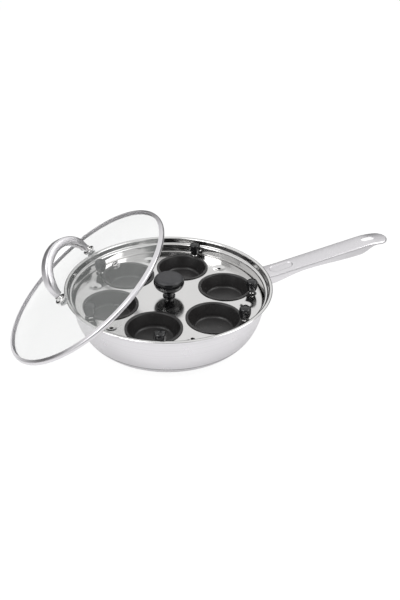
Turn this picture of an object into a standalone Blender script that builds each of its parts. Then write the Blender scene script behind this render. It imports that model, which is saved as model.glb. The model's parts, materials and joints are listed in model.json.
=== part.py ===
"""Egg pan: a wide steel pan with a lift-out tray of six egg cups and a glass lid leaning on its rim.

Frame: metres, +Z up, +X along the handle, origin on the table under the middle of the pan.
The lid is drawn in a frame of its own, with its lower edge at z = 0, and is then leant on the rim.
"""

import math

import bmesh
import bpy
from mathutils import Matrix, Vector

MM = 0.001

# Clearances
SEAT_GAP = 0.3 * MM          # between pieces that touch
LID_PLAY = 2.4 * MM          # between the closed lid and the recess in the rim
TRAY_PLAY = 1.5 * MM         # between the tray's skirt and the top of the pan's wall
CUP_PLAY = 1.0 * MM          # between a cup's bowl and its hole in the tray

# Pan body
RIM_RADIUS = 140.0 * MM
PAN_HEIGHT = 75.0 * MM
PAN_SHEET = 1.0 * MM
LIP_WIDTH = 6.0 * MM
LIP_DROOP = 1.0 * MM
RECESS_DEPTH = 8.0 * MM
LEDGE_WIDTH = 4.8 * MM
BASE_RADIUS = 100.0 * MM
BASE_HEIGHT = 4.7 * MM
BASE_SHEET = 0.8 * MM

# Handle
HANDLE_LENGTH = 198.0 * MM
HANDLE_HALF_WIDTH = 15.5 * MM
HANDLE_SHEET = 1.4 * MM
HANDLE_DROP = 5.4 * MM       # top of the handle's root below the pan's rim
HANDLE_CROWN = 1.0 * MM
HANDLE_EDGE = 2.4 * MM
HANDLE_PITCH = math.radians(10.6)
HANDLE_ROOT_PITCH = math.radians(6.0)
HANDLE_BEND = 35.0 * MM      # length over which the root turns up to the full pitch
HANDLE_LEVEL_START = 42.0 * MM   # length before the tip where the handle starts to level out
HANDLE_LEVEL_END = 20.0 * MM
SKIRT_ROOT = 13.0 * MM
SKIRT_WAIST = 6.7 * MM
SKIRT_BELLY = 11.8 * MM
SKIRT_TIP = 3.0 * MM
WAIST_AT = 60.0 * MM         # from the root
BELLY_AT = 50.0 * MM         # from the tip
SKIRT_END_AT = 20.0 * MM     # from the tip
SLOT_LENGTH = 20.0 * MM
SLOT_WIDTH = 10.5 * MM
SLOT_AT = 30.0 * MM          # from the tip
THUMB_LENGTH = 34.0 * MM
THUMB_WIDTH = 15.0 * MM
THUMB_DEPTH = 1.1 * MM
THUMB_AT = 30.0 * MM         # from the root
BRACKET_SHEET = 2.0 * MM
BRACKET_WIDTH = 20.0 * MM
BRACKET_PLATE = 11.0 * MM
BRACKET_TONGUE = 4.0 * MM    # past the middle of the thumb rest

# Tray
TRAY_SHEET = 1.0 * MM
TRAY_SKIRT = 6.6 * MM
TRAY_EDGE = 2.0 * MM
CUP_LAND = 9.5 * MM          # from a cup's flange to the tray's edge
CUP_WEB = 6.3 * MM           # between two cups' flanges
VENT_RADIUS = 2.5 * MM
VENT_INSET = 22.2 * MM
DIMPLE_RADIUS = 8.6 * MM
DIMPLE_DEPTH = 1.1 * MM

# Tray knob
KNOB_HEIGHT = 29.8 * MM
KNOB_RADIUS = 20.8 * MM
KNOB_TOP_RADIUS = 14.5 * MM
KNOB_SHOULDER = 8.0 * MM
KNOB_NECK_RADIUS = 6.8 * MM
KNOB_NECK_HEIGHT = 9.5 * MM
KNOB_FOOT_RADIUS = 8.6 * MM
KNOB_FOOT_HEIGHT = 2.0 * MM
SCREW_RADIUS = 2.2 * MM
SCREW_REACH = 12.0 * MM
SCREW_HEAD_RADIUS = 4.4 * MM
SCREW_HEAD_HEIGHT = 2.2 * MM
SCREW_CROWN = 0.7            # share of the head's radius that its rounded top keeps
WASHER_RADIUS = 6.5 * MM
WASHER_SHEET = 1.0 * MM

# Cups, each turned in its hole by its own angle from straight outward
CUP_COUNT = 6
CUP_SHEET = 1.0 * MM
CUP_FLANGE = 3.2 * MM
CUP_DEPTH = 18.0 * MM
CUP_TAPER = 7.0 * MM
CUP_TURNS = (-43.0, -15.0, 34.0, 37.0, 26.0, 33.0)
TAB_REACH = 2.6 * MM         # from the flange's edge to the knob's axis
TAB_RADIUS = 7.0 * MM
TAB_SHEET = 1.1 * MM
TAB_SPREAD = math.radians(17.0)
FERRULE_RADIUS = 4.6 * MM
FERRULE_HEIGHT = 2.3 * MM
STUD_RADIUS = 1.9 * MM
STUD_HEIGHT = 8.0 * MM
GRIP_HEIGHT = 16.5 * MM
GRIP_RADIUS = 7.9 * MM
GRIP_FOOT_RADIUS = 4.9 * MM
GRIP_EDGE = 2.2 * MM
GRIP_BELLY = 0.55            # share of the grip's height where it is widest

# Lid
LID_DOME = 21.0 * MM
LID_GLASS = 3.0 * MM
BAND_SHEET = 0.8 * MM
BAND_LAP = 4.2 * MM
POST_SPACING = 86.0 * MM
POST_TURN = math.radians(54.0)
POST_RADIUS = 4.2 * MM
POST_FOOT_RADIUS = 8.0 * MM
POST_FOOT_HEIGHT = 2.0 * MM
POST_HEIGHT = 6.2 * MM
POST_SCREW_SHARE = 0.6       # share of the post that its screw fills
INNER_SEAL_RADIUS = 6.0 * MM
SEAL_HEIGHT = 1.2 * MM
LID_HOLE_PLAY = 0.8 * MM
BOW_RISE = 38.0 * MM
BOW_THICKNESS = 11.6 * MM
BOW_WIDTH = 13.4 * MM
BOW_TIP_SHARE = 0.75         # thickness at the ends over thickness at the crown
BOW_INSET = 2.5 * MM         # from a post's axis in to the end of the bow
VENT_PLACE = Vector((60.0, -39.0)) * MM
EYELET_RADIUS = 4.8 * MM
EYELET_TUBE = 2.6 * MM
EYELET_BORE = 1.4 * MM
EYELET_SHEET = 0.9 * MM

# How the lid leans
LID_TILT = math.radians(37.1)
LID_BEARING = math.radians(172.0)
LID_ASIDE = -5.0 * MM        # the lid's middle stands this far beside its bearing

# Facets
ROUND = 40
CUP_ROUND = 20
KNOB_ROUND = 24
SMALL_ROUND = 12
WALL_STEPS = 8
CUP_STEPS = 2
DOME_STEPS = 5
BOW_STEPS = 16
HANDLE_STATIONS = 14
TIP_STEPS = 5

# Worked-out sizes of the pan
RECESS_RADIUS = RIM_RADIUS - LIP_WIDTH
LID_RADIUS = RECESS_RADIUS - LID_PLAY
WALL_RADIUS = RECESS_RADIUS - LEDGE_WIDTH
FLOOR_HEIGHT = BASE_HEIGHT + SEAT_GAP
LEDGE_HEIGHT = PAN_HEIGHT - RECESS_DEPTH
WALL_TOP = LEDGE_HEIGHT - 2 * PAN_SHEET
TRAY_RADIUS = WALL_RADIUS - TRAY_PLAY
LIP_TIP = RIM_RADIUS - PAN_SHEET * math.sqrt(0.5)    # where the drawn face of the lip ends
LIP_TIP_TOP = PAN_HEIGHT - LIP_DROOP - PAN_SHEET * (1 - math.sqrt(0.5))
LIP_CORNER = LIP_TIP - LIP_DROOP + PAN_SHEET * math.tan(math.pi / 8)


def wall_radius(height):
    """Inner radius of the pan's bowl-shaped wall at a height above the table."""
    fall = (WALL_TOP - height) / (WALL_TOP - FLOOR_HEIGHT)
    inner_base = BASE_RADIUS - PAN_SHEET
    return inner_base + (WALL_RADIUS - inner_base) * math.sqrt(max(0.0, 1 - fall * fall))


def wall_height(radius):
    """Height at which the pan's inner wall has this radius."""
    inner_base = BASE_RADIUS - PAN_SHEET
    share = (radius - inner_base) / (WALL_RADIUS - inner_base)
    return WALL_TOP - (WALL_TOP - FLOOR_HEIGHT) * math.sqrt(max(0.0, 1 - share * share))


TRAY_TOP = wall_height(TRAY_RADIUS + SEAT_GAP) + TRAY_SKIRT
STEP_HALF = math.sin(math.pi / CUP_COUNT)
CUP_RADIUS = ((TRAY_RADIUS - CUP_LAND) * STEP_HALF - CUP_WEB / 2) / (1 + STEP_HALF)
CUP_CIRCLE = TRAY_RADIUS - CUP_LAND - CUP_RADIUS
BOWL_RADIUS = CUP_RADIUS - CUP_FLANGE
VENT_CIRCLE = TRAY_RADIUS - VENT_INSET


def material(name, colour, roughness, metallic, alpha=1.0):
    """A Principled material, made once and shared by the pieces that have it."""
    made = bpy.data.materials.get(name) or bpy.data.materials.new(name)
    made.use_nodes = True
    shader = made.node_tree.nodes["Principled BSDF"]
    shader.inputs["Base Color"].default_value = (*colour, 1.0)
    shader.inputs["Roughness"].default_value = roughness
    shader.inputs["Metallic"].default_value = metallic
    shader.inputs["Alpha"].default_value = alpha
    made.diffuse_color = (*colour, alpha)
    return made


def satin_steel():
    return material("satin_steel", (0.80, 0.79, 0.78), 0.35, 1.0)


def polished_steel():
    return material("polished_steel", (0.82, 0.82, 0.82), 0.12, 1.0)


def aluminium():
    return material("aluminium", (0.75, 0.75, 0.76), 0.45, 1.0)


def bakelite():
    return material("bakelite", (0.012, 0.012, 0.013), 0.18, 0.0)


def nonstick():
    return material("nonstick", (0.018, 0.018, 0.019), 0.42, 0.0)


def clear_glass():
    return material("clear_glass", (0.93, 0.95, 0.94), 0.04, 0.0, 0.25)


def silicone():
    return material("silicone", (0.75, 0.76, 0.76), 0.55, 0.0)


def collection(name):
    """A collection in the scene, made on first use."""
    found = bpy.data.collections.get(name)
    if found is None:
        found = bpy.data.collections.new(name)
        bpy.context.scene.collection.children.link(found)
    return found


def add_object(name, mesh, finish, parent=None):
    """A named piece of the egg pan, under its parent empty."""
    piece = bpy.data.objects.new(name, mesh)
    collection("egg_pan").objects.link(piece)
    mesh.materials.clear()
    mesh.materials.append(finish)
    piece.parent = parent
    return piece


def add_cutter(name, mesh, parent=None):
    """A shape that only cuts or joins, kept apart from the pieces."""
    cutter = bpy.data.objects.new(name, mesh)
    collection("cutters").objects.link(cutter)
    cutter.hide_render = True
    cutter.display_type = "WIRE"
    cutter.parent = parent
    return cutter


def add_empty(name, place=Matrix.Identity(4)):
    """An axis system that carries the pieces of one moving body."""
    empty = bpy.data.objects.new(name, None)
    collection("egg_pan").objects.link(empty)
    empty.empty_display_size = 20 * MM
    empty.matrix_world = place
    return empty


def mesh_from(shape, name):
    """The finished bmesh as a mesh with sharp edges kept where the form has them."""
    mesh = bpy.data.meshes.new(name)
    shape.to_mesh(mesh)
    shape.free()
    mesh.shade_smooth()
    mesh.set_sharp_from_angle(angle=math.radians(40))
    return mesh


def line_mesh(name, points, closed):
    """A profile in the XZ plane as a chain of edges."""
    edges = [(i, i + 1) for i in range(len(points) - 1)]
    if closed:
        edges.append((len(points) - 1, 0))
    mesh = bpy.data.meshes.new(name)
    mesh.from_pydata([(x, 0.0, z) for x, z in points], edges, [])
    return mesh


def face_outward(shape, outward):
    """Turns an open surface so that the face lying furthest outward looks that way."""
    bmesh.ops.recalc_face_normals(shape, faces=shape.faces)
    shape.normal_update()
    furthest = max(shape.faces, key=lambda f: f.calc_center_median().dot(outward))
    if furthest.normal.dot(outward) < 0:
        bmesh.ops.reverse_faces(shape, faces=shape.faces)


def spin_profile(piece, sides):
    """Turns the piece's profile about its own Z axis."""
    screw = piece.modifiers.new("turn", "SCREW")
    screw.axis = "Z"
    screw.angle = 2 * math.pi
    screw.steps = sides
    screw.render_steps = sides
    screw.use_merge_vertices = True
    screw.merge_threshold = 1e-5


def thicken(piece, sheet):
    """Gives an open surface its sheet thickness, inwards from the drawn face."""
    solid = piece.modifiers.new("sheet", "SOLIDIFY")
    solid.thickness = sheet
    solid.offset = -1.0
    solid.use_even_offset = True


def turned(name, points, finish, sides, parent=None, closed=False, sheet=None):
    """A turned piece: a solid outline, or a drawn surface with a sheet thickness."""
    piece = add_object(name, line_mesh(name, points, closed), finish, parent)
    spin_profile(piece, sides)
    if sheet:
        thicken(piece, sheet)
    return piece


def boolean(piece, other, operation="DIFFERENCE"):
    """Cuts the other shape from the piece, or joins it to the piece."""
    step = piece.modifiers.new(f"{operation.lower()}_{other.name}", "BOOLEAN")
    step.operation = operation
    step.object = other


def arc(centre, radius, start, end, steps):
    """Points on an arc, or on part of an ellipse where radius is a pair."""
    wide, high = radius if isinstance(radius, tuple) else (radius, radius)
    turns = [math.radians(start + (end - start) * i / steps) for i in range(steps + 1)]
    return [(centre[0] + wide * math.cos(t), centre[1] + high * math.sin(t)) for t in turns]


def smooth(share):
    """A soft start and stop between 0 and 1."""
    t = min(1.0, max(0.0, share))
    return t * t * (3 - 2 * t)


def peg(name, radius, low, high, sides, parent=None, place=(0.0, 0.0), top_radius=None):
    """A round cutter, straight or tapered, between two heights."""
    shape = bmesh.new()
    middle = Matrix.Translation((place[0], place[1], (low + high) / 2))
    bmesh.ops.create_cone(shape, cap_ends=True, segments=sides, radius1=radius,
                          radius2=top_radius or radius, depth=high - low, matrix=middle)
    return add_cutter(name, mesh_from(shape, name), parent)


def ring_points(inner, outer, low, high):
    """The outline of a plain ring, down its outer side and up its bore."""
    return [(outer, high), (outer, low), (inner, low), (inner, high)]


def pan_line():
    """The pan's outer face from the edge of the lip down to the middle of its floor."""
    outer = RECESS_RADIUS + PAN_SHEET
    wall = WALL_RADIUS + PAN_SHEET
    under_lip = PAN_HEIGHT - PAN_SHEET
    under_ledge = LEDGE_HEIGHT - PAN_SHEET
    fillet = PAN_SHEET
    line = [(LIP_TIP, under_lip - LIP_DROOP), (LIP_TIP - LIP_DROOP, under_lip)]
    line += arc((outer + fillet, under_lip - fillet), fillet, 90, 180, 2)
    line += arc((outer - fillet, under_ledge + fillet), fillet, 0, -90, 2)
    line += arc((wall + fillet, WALL_TOP), fillet, 90, 180, 2)
    sweep = (wall - BASE_RADIUS, WALL_TOP - FLOOR_HEIGHT)
    line += arc((BASE_RADIUS, WALL_TOP), sweep, 0, -90, WALL_STEPS)[1:]
    return line + [(0.0, FLOOR_HEIGHT)]


def make_pan_body():
    turned("pan_body", pan_line(), satin_steel(), ROUND, sheet=PAN_SHEET)


def make_base():
    """The capsule base: an aluminium disc in a steel cap under the pan's floor."""
    edge = BASE_SHEET
    line = [(BASE_RADIUS, BASE_HEIGHT)]
    line += arc((BASE_RADIUS - edge, edge), edge, 0, -90, 2)
    line.append((0.0, 0.0))
    turned("base_cap", line, satin_steel(), ROUND, sheet=BASE_SHEET)
    radius = BASE_RADIUS - BASE_SHEET - 2 * SEAT_GAP
    low = BASE_SHEET + SEAT_GAP
    turned("base_core", [(0.0, BASE_HEIGHT), (radius, BASE_HEIGHT), (radius, low), (0.0, low)],
           aluminium(), ROUND)


def handle_pitch(along):
    """Slope of the handle at a length from its root."""
    root = HANDLE_ROOT_PITCH + (HANDLE_PITCH - HANDLE_ROOT_PITCH) * smooth(along / HANDLE_BEND)
    start = HANDLE_LENGTH - HANDLE_LEVEL_START
    levelling = HANDLE_LEVEL_START - HANDLE_LEVEL_END
    return root * (1 - smooth((along - start) / levelling))


def handle_frame(along):
    """Place on the handle's spine, and its directions along and upward."""
    steps = max(1, round(along / MM))
    x = RECESS_RADIUS
    z = PAN_HEIGHT - HANDLE_DROP
    for step in range(steps):
        pitch = handle_pitch(along * (step + 0.5) / steps)
        x += math.cos(pitch) * along / steps
        z += math.sin(pitch) * along / steps
    pitch = handle_pitch(along)
    forward = Vector((math.cos(pitch), 0.0, math.sin(pitch)))
    upward = Vector((-math.sin(pitch), 0.0, math.cos(pitch)))
    return Vector((x, 0.0, z)), forward, upward


def handle_matrix(along):
    """Axis system on the handle's top face: X along the handle, Z square to it."""
    place, forward, upward = handle_frame(along)
    turn = Matrix((forward, Vector((0, 1, 0)), upward)).transposed().to_4x4()
    return Matrix.Translation(place) @ turn


def skirt_depth(along):
    """Depth of the turned-down edge: deep at the root and in the palm, slim at the waist."""
    stations = ((0.0, SKIRT_ROOT), (WAIST_AT, SKIRT_WAIST),
                (HANDLE_LENGTH - BELLY_AT, SKIRT_BELLY), (HANDLE_LENGTH - SKIRT_END_AT, SKIRT_TIP))
    for (start, first), (end, last) in zip(stations, stations[1:]):
        if along < end:
            return first + (last - first) * smooth((along - start) / (end - start))
    return SKIRT_TIP


def handle_outline():
    """The handle's plan: points along its left side and round to the middle of the tip."""
    straight = HANDLE_LENGTH - HANDLE_HALF_WIDTH
    side = [(straight * i / HANDLE_STATIONS, HANDLE_HALF_WIDTH, 90.0) for i in range(HANDLE_STATIONS)]
    for step in range(TIP_STEPS + 1):
        turn = 90.0 * (1 - step / TIP_STEPS)
        x, y = arc((straight, 0.0), HANDLE_HALF_WIDTH, turn, turn, 1)[0]
        side.append((x, y, turn))
    return side


def edge_levels(along):
    """Inset and drop of the turned edge, from the top face over the shoulder to the skirt's foot."""
    curve = arc((0.0, 0.0), HANDLE_EDGE, 90, 0, 3)
    levels = [(HANDLE_EDGE - out, HANDLE_EDGE - up) for out, up in curve]
    return levels + [(0.0, skirt_depth(along))]


def make_handle():
    """A stamped handle: a crowned top face with its edge turned down all round but the root."""
    outline = handle_outline()
    columns = (-0.5, 0.0, 0.5)
    shape = bmesh.new()

    def vertex(along, aside, drop):
        place, _, upward = handle_frame(along)
        crown = HANDLE_CROWN * (aside / HANDLE_HALF_WIDTH) ** 2
        return shape.verts.new(place + Vector((0, aside, 0)) - upward * (crown + drop))

    rings = {1: [], -1: []}
    rows = []
    for along, aside, turn in outline:
        normal = (math.cos(math.radians(turn)), math.sin(math.radians(turn)))
        last = aside < 1e-6
        for sign in (1, -1):
            if last and sign < 0:
                rings[sign].append(rings[1][-1])
                continue
            rings[sign].append([vertex(along - inset * normal[0], sign * (aside - inset * normal[1]), drop)
                                for inset, drop in edge_levels(along)])
        near, far = rings[-1][-1][0], rings[1][-1][0]
        inner = aside - HANDLE_EDGE * normal[1]
        middle = [] if last else [vertex(along - HANDLE_EDGE * normal[0], inner * c, 0.0) for c in columns]
        rows.append([near] + middle + [far])
    for sign in (1, -1):
        for first, second in zip(rings[sign], rings[sign][1:]):
            for level in range(len(first) - 1):
                shape.faces.new((first[level], first[level + 1], second[level + 1], second[level]))
    for first, second in zip(rows, rows[1:]):
        if len(second) == len(first):
            for i in range(len(first) - 1):
                shape.faces.new((first[i], first[i + 1], second[i + 1], second[i]))
        else:
            for i in range(len(first) - 1):
                shape.faces.new((first[i], first[i + 1], second[0]))
    face_outward(shape, Vector((0, 0, 1)))
    handle = add_object("handle", mesh_from(shape, "handle"), satin_steel())
    thicken(handle, HANDLE_SHEET)
    thumb = handle_matrix(THUMB_AT)
    boolean(handle, add_stadium("thumb_boss", THUMB_LENGTH, THUMB_WIDTH, -HANDLE_SHEET - THUMB_DEPTH,
                                -HANDLE_SHEET / 2, HANDLE_SHEET, thumb), "UNION")
    boolean(handle, add_stadium("thumb_press", THUMB_LENGTH, THUMB_WIDTH, -THUMB_DEPTH,
                                3 * THUMB_DEPTH, -HANDLE_SHEET / 2, thumb))
    boolean(handle, add_stadium("hang_slot", SLOT_LENGTH, SLOT_WIDTH, -SKIRT_ROOT, SKIRT_ROOT, 0.0,
                                handle_matrix(HANDLE_LENGTH - SLOT_AT)))
    reach = RECESS_RADIUS + PAN_SHEET + SEAT_GAP
    boolean(handle, peg("root_trim", reach, 0.0, 2 * PAN_HEIGHT, ROUND))


def add_stadium(name, length, width, low, high, flare, place):
    """A cutter with straight sides and round ends, wider at its top by the flare."""
    shape = bmesh.new()
    bmesh.ops.create_cone(shape, cap_ends=True, segments=16, radius1=width / 2 - flare / 2,
                          radius2=width / 2 + flare / 2, depth=high - low)
    for vert in shape.verts:
        vert.co.x += math.copysign((length - width) / 2, vert.co.x)
        vert.co.z += (low + high) / 2
    cutter = add_cutter(name, mesh_from(shape, name))
    cutter.matrix_world = place
    return cutter


def make_handle_bracket():
    """The bent strap from the pan's wall to the underside of the pressed thumb rest, welded at both."""
    seat = handle_matrix(THUMB_AT)
    drop = HANDLE_SHEET + THUMB_DEPTH + SEAT_GAP
    wall = WALL_RADIUS + PAN_SHEET + SEAT_GAP
    plate_top = WALL_TOP - PAN_SHEET - BRACKET_SHEET
    line = [Vector((wall, 0, plate_top - BRACKET_PLATE)), Vector((wall, 0, plate_top)),
            seat @ Vector((-THUMB_LENGTH / 2, 0, -drop)), seat @ Vector((BRACKET_TONGUE, 0, -drop))]
    shape = bmesh.new()
    verts = [shape.verts.new(point + Vector((0, -BRACKET_WIDTH / 2, 0))) for point in line]
    edges = [shape.edges.new(pair) for pair in zip(verts, verts[1:])]
    grown = bmesh.ops.extrude_edge_only(shape, edges=edges)["geom"]
    moved = [g for g in grown if isinstance(g, bmesh.types.BMVert)]
    bmesh.ops.translate(shape, vec=(0, BRACKET_WIDTH, 0), verts=moved)
    face_outward(shape, Vector((0, 0, 1)))
    bracket = add_object("handle_bracket", mesh_from(shape, "handle_bracket"), satin_steel())
    thicken(bracket, BRACKET_SHEET)


def vent_places():
    """The tray's vents lie between the cups."""
    for index in range(CUP_COUNT):
        turn = 2 * math.pi * (index + 0.5) / CUP_COUNT
        yield index, (VENT_CIRCLE * math.cos(turn), VENT_CIRCLE * math.sin(turn))


def cup_place(index):
    turn = 2 * math.pi * index / CUP_COUNT
    return CUP_CIRCLE * math.cos(turn), CUP_CIRCLE * math.sin(turn)


def make_tray(axis):
    """The tray plate, its skirt wedged in the bowl of the wall, with cup holes and dimpled vents."""
    line = [(0.0, 0.0)]
    line += arc((TRAY_RADIUS - TRAY_EDGE, -TRAY_EDGE), TRAY_EDGE, 90, 0, 3)
    line.append((TRAY_RADIUS, -TRAY_SKIRT))
    tray = turned("tray", line, polished_steel(), ROUND, axis, sheet=TRAY_SHEET)
    for index in range(CUP_COUNT):
        hole = peg(f"cup_hole_{index + 1}", BOWL_RADIUS + CUP_PLAY, -2 * TRAY_SHEET, TRAY_SHEET,
                   CUP_ROUND, axis, cup_place(index))
        boolean(tray, hole)
    for index, place in vent_places():
        boss = peg(f"dimple_boss_{index + 1}", DIMPLE_RADIUS / 2 + DIMPLE_DEPTH,
                   -TRAY_SHEET - DIMPLE_DEPTH, -TRAY_SHEET / 2, SMALL_ROUND, axis, place,
                   DIMPLE_RADIUS + TRAY_SHEET)
        press = peg(f"dimple_press_{index + 1}", DIMPLE_RADIUS / 2, -DIMPLE_DEPTH, DIMPLE_DEPTH,
                    SMALL_ROUND, axis, place, 3 * DIMPLE_RADIUS / 2)
        vent = peg(f"vent_{index + 1}", VENT_RADIUS, -4 * DIMPLE_DEPTH, DIMPLE_DEPTH, SMALL_ROUND,
                   axis, place)
        boolean(tray, boss, "UNION")
        boolean(tray, press)
        boolean(tray, vent)
    boolean(tray, peg("tray_screw_hole", SCREW_RADIUS + SEAT_GAP, -2 * TRAY_SHEET, TRAY_SHEET,
                      SMALL_ROUND, axis))


def screw_points(top, under_head):
    """A screw with a rounded head below and its shank pointing up."""
    head = under_head - SCREW_HEAD_HEIGHT
    return [(0.0, top), (SCREW_RADIUS, top), (SCREW_RADIUS, under_head),
            (SCREW_HEAD_RADIUS, under_head), (SCREW_HEAD_RADIUS, under_head - SCREW_HEAD_HEIGHT / 2),
            (SCREW_HEAD_RADIUS * SCREW_CROWN, head), (0.0, head)]


def make_tray_knob(axis):
    """The mushroom knob in the middle of the tray, its screw and the washer under the plate."""
    foot = SEAT_GAP
    ball = KNOB_HEIGHT - KNOB_SHOULDER
    bore = SCREW_RADIUS + SEAT_GAP
    shoulder = (KNOB_RADIUS - KNOB_TOP_RADIUS, KNOB_SHOULDER)
    under = (KNOB_RADIUS - KNOB_NECK_RADIUS, ball - KNOB_NECK_HEIGHT)
    line = [(0.0, KNOB_HEIGHT)]
    line += arc((KNOB_TOP_RADIUS, ball), shoulder, 90, 0, 4)
    line += arc((KNOB_NECK_RADIUS, ball), under, 0, -90, 5)[1:]
    line += [(KNOB_NECK_RADIUS, KNOB_FOOT_HEIGHT + foot), (KNOB_FOOT_RADIUS, foot),
             (bore, foot), (bore, SCREW_REACH + SEAT_GAP), (0.0, SCREW_REACH + SEAT_GAP)]
    turned("tray_knob", line, bakelite(), KNOB_ROUND, axis)
    under_tray = -TRAY_SHEET - SEAT_GAP
    ring = ring_points(bore, WASHER_RADIUS, under_tray - WASHER_SHEET, under_tray)
    turned("tray_knob_washer", ring, polished_steel(), SMALL_ROUND, axis, closed=True)
    turned("tray_knob_screw", screw_points(SCREW_REACH, under_tray - WASHER_SHEET - SEAT_GAP),
           polished_steel(), SMALL_ROUND, axis)


def cup_line():
    """A cup's under face, from the edge of the flange to the middle of the bottom."""
    low = SEAT_GAP
    fillet = 2 * CUP_SHEET
    bottom = BOWL_RADIUS - CUP_TAPER
    line = [(CUP_RADIUS, low), (BOWL_RADIUS + CUP_SHEET / 2, low)]
    line.append((BOWL_RADIUS, low - CUP_SHEET / 2))
    line += arc((bottom - fillet, low - CUP_DEPTH + 2 * fillet), (fillet, 2 * fillet), 0, -90, CUP_STEPS)
    return line + [(0.0, low - CUP_DEPTH)]


def make_cup_tab(index, axis, reach):
    """The ear that widens the flange out to the knob."""
    shape = bmesh.new()
    low = SEAT_GAP + (CUP_SHEET - TAB_SHEET) / 2
    edge = CUP_RADIUS - CUP_SHEET / 2
    root = [(edge * math.cos(TAB_SPREAD * t), edge * math.sin(TAB_SPREAD * t))
            for t in (-1, -0.5, 0, 0.5, 1)]
    ear = [(reach + x, y) for x, y in arc((0, 0), TAB_RADIUS, -105, 105, 8)]
    for x, y in root + ear:
        for z in (low, low + TAB_SHEET):
            shape.verts.new((x, y, z))
    bmesh.ops.convex_hull(shape, input=shape.verts)
    return add_cutter(f"cup_{index + 1}_tab", mesh_from(shape, "cup_tab"), axis)


def make_cup(index, tray_axis):
    """One egg cup: the coated bowl with its ear, the welded stud and the screwed-on grip."""
    x, y = cup_place(index)
    axis = add_empty(f"cup_{index + 1}_axis")
    axis.parent = tray_axis
    axis.location = (x, y, 0.0)
    outward = math.degrees(2 * math.pi * index / CUP_COUNT)
    axis.rotation_euler.z = math.radians(outward + CUP_TURNS[index % len(CUP_TURNS)])
    cup = turned(f"cup_{index + 1}", cup_line(), nonstick(), CUP_ROUND, axis, sheet=CUP_SHEET)
    reach = CUP_RADIUS + TAB_REACH
    boolean(cup, make_cup_tab(index, axis, reach), "UNION")
    tab_top = SEAT_GAP + (CUP_SHEET + TAB_SHEET) / 2
    foot = tab_top + SEAT_GAP
    collar = foot + FERRULE_HEIGHT
    tip = collar + STUD_HEIGHT
    stud = turned(f"cup_{index + 1}_stud",
                  [(0.0, tip), (STUD_RADIUS, tip), (STUD_RADIUS, collar), (FERRULE_RADIUS, collar),
                   (FERRULE_RADIUS, foot), (0.0, foot)], polished_steel(), SMALL_ROUND, axis)
    base = collar + SEAT_GAP
    bore = STUD_RADIUS + SEAT_GAP
    top = base + GRIP_HEIGHT
    widest = base + GRIP_HEIGHT * GRIP_BELLY
    line = [(0.0, top)]
    line += arc((GRIP_RADIUS - GRIP_EDGE, top - GRIP_EDGE), GRIP_EDGE, 90, 0, 3)
    line += [(GRIP_RADIUS, widest), (GRIP_FOOT_RADIUS, base), (bore, base), (bore, tip + SEAT_GAP),
             (0.0, tip + SEAT_GAP)]
    grip = turned(f"cup_{index + 1}_knob", line, bakelite(), SMALL_ROUND, axis)
    for piece in (stud, grip):
        piece.location.x = reach


# The lid's own sizes: the glass is a cap of a sphere whose edge sits inside the steel band
GLASS_RADIUS = LID_RADIUS - BAND_SHEET - SEAT_GAP
GLASS_EDGE = BAND_SHEET + SEAT_GAP + LID_GLASS
DOME_RISE = LID_DOME - GLASS_EDGE
DOME_BALL = (GLASS_RADIUS ** 2 + DOME_RISE ** 2) / (2 * DOME_RISE)
DOME_CENTRE = LID_DOME - DOME_BALL
POST_PLACES = [sign * POST_SPACING / 2 * Vector((math.cos(POST_TURN), math.sin(POST_TURN)))
               for sign in (-1, 1)]
FIXING_STEPS = ((INNER_SEAL_RADIUS, SEAT_GAP + SEAL_HEIGHT),
                (SCREW_HEAD_RADIUS, 2 * SEAT_GAP + SEAL_HEIGHT + SCREW_HEAD_HEIGHT))


def glass_top(radius):
    """Height of the glass's outer face above the lid's lower edge."""
    return DOME_CENTRE + math.sqrt(DOME_BALL ** 2 - radius ** 2)


def glass_under(radius):
    """Height of the glass's inner face above the lid's lower edge."""
    return DOME_CENTRE + math.sqrt((DOME_BALL - LID_GLASS) ** 2 - radius ** 2)


def glass_matrix(place):
    """Axis system on the glass's outer face, Z square to the glass."""
    middle = Vector((0, 0, DOME_CENTRE))
    spot = Vector((place.x, place.y, glass_top(place.length)))
    normal = (spot - middle).normalized()
    return Matrix.Translation(spot) @ normal.to_track_quat("Z", "X").to_matrix().to_4x4()


def lean_matrix():
    """Where the lid stands: its edge on the table and its dome or a screw head on the pan's rim."""
    turn = Matrix.Rotation(LID_BEARING, 4, "Z") @ Matrix.Rotation(LID_TILT, 4, "Y")
    turn = turn @ Matrix.Rotation(math.pi, 4, "Z")
    centre_height = LID_RADIUS * math.sin(LID_TILT)
    outward = Vector((math.cos(LID_BEARING), math.sin(LID_BEARING), 0.0))
    aside = Vector((-outward.y, outward.x, 0.0)) * LID_ASIDE + Vector((0, 0, centre_height))
    near = SEAT_GAP + LID_RADIUS * math.cos(LID_TILT) / 2
    far = RIM_RADIUS + LID_RADIUS
    for _ in range(40):
        middle = (near + far) / 2
        place = Matrix.Translation(outward * middle + aside) @ turn
        if rim_clearance(place) < SEAT_GAP:
            near = middle
        else:
            far = middle
    return Matrix.Translation(outward * far + aside) @ turn


def rim_clearance(place):
    """Least height between the pan's lip and what hangs over it inside the leaning lid."""
    back = place.inverted()
    least = math.inf
    facet = 2 * math.pi / ROUND
    for step in range(-60, 61):
        turn = LID_BEARING + math.radians(step / 2)
        flat = math.cos(facet / 2) / math.cos(turn % facet - facet / 2)
        for radius, height in ((RIM_RADIUS, LIP_TIP_TOP), (LIP_CORNER, PAN_HEIGHT)):
            reach = radius * flat
            spot = back @ Vector((reach * math.cos(turn), reach * math.sin(turn), height))
            over = glass_under(min(spot.xy.length, GLASS_RADIUS))
            for post in POST_PLACES:
                for wide, drop in FIXING_STEPS:
                    if (spot.xy - post).length < wide + SEAT_GAP:
                        over = min(over, glass_under(post.length) - drop)
            least = min(least, over - spot.z)
    return least


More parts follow.
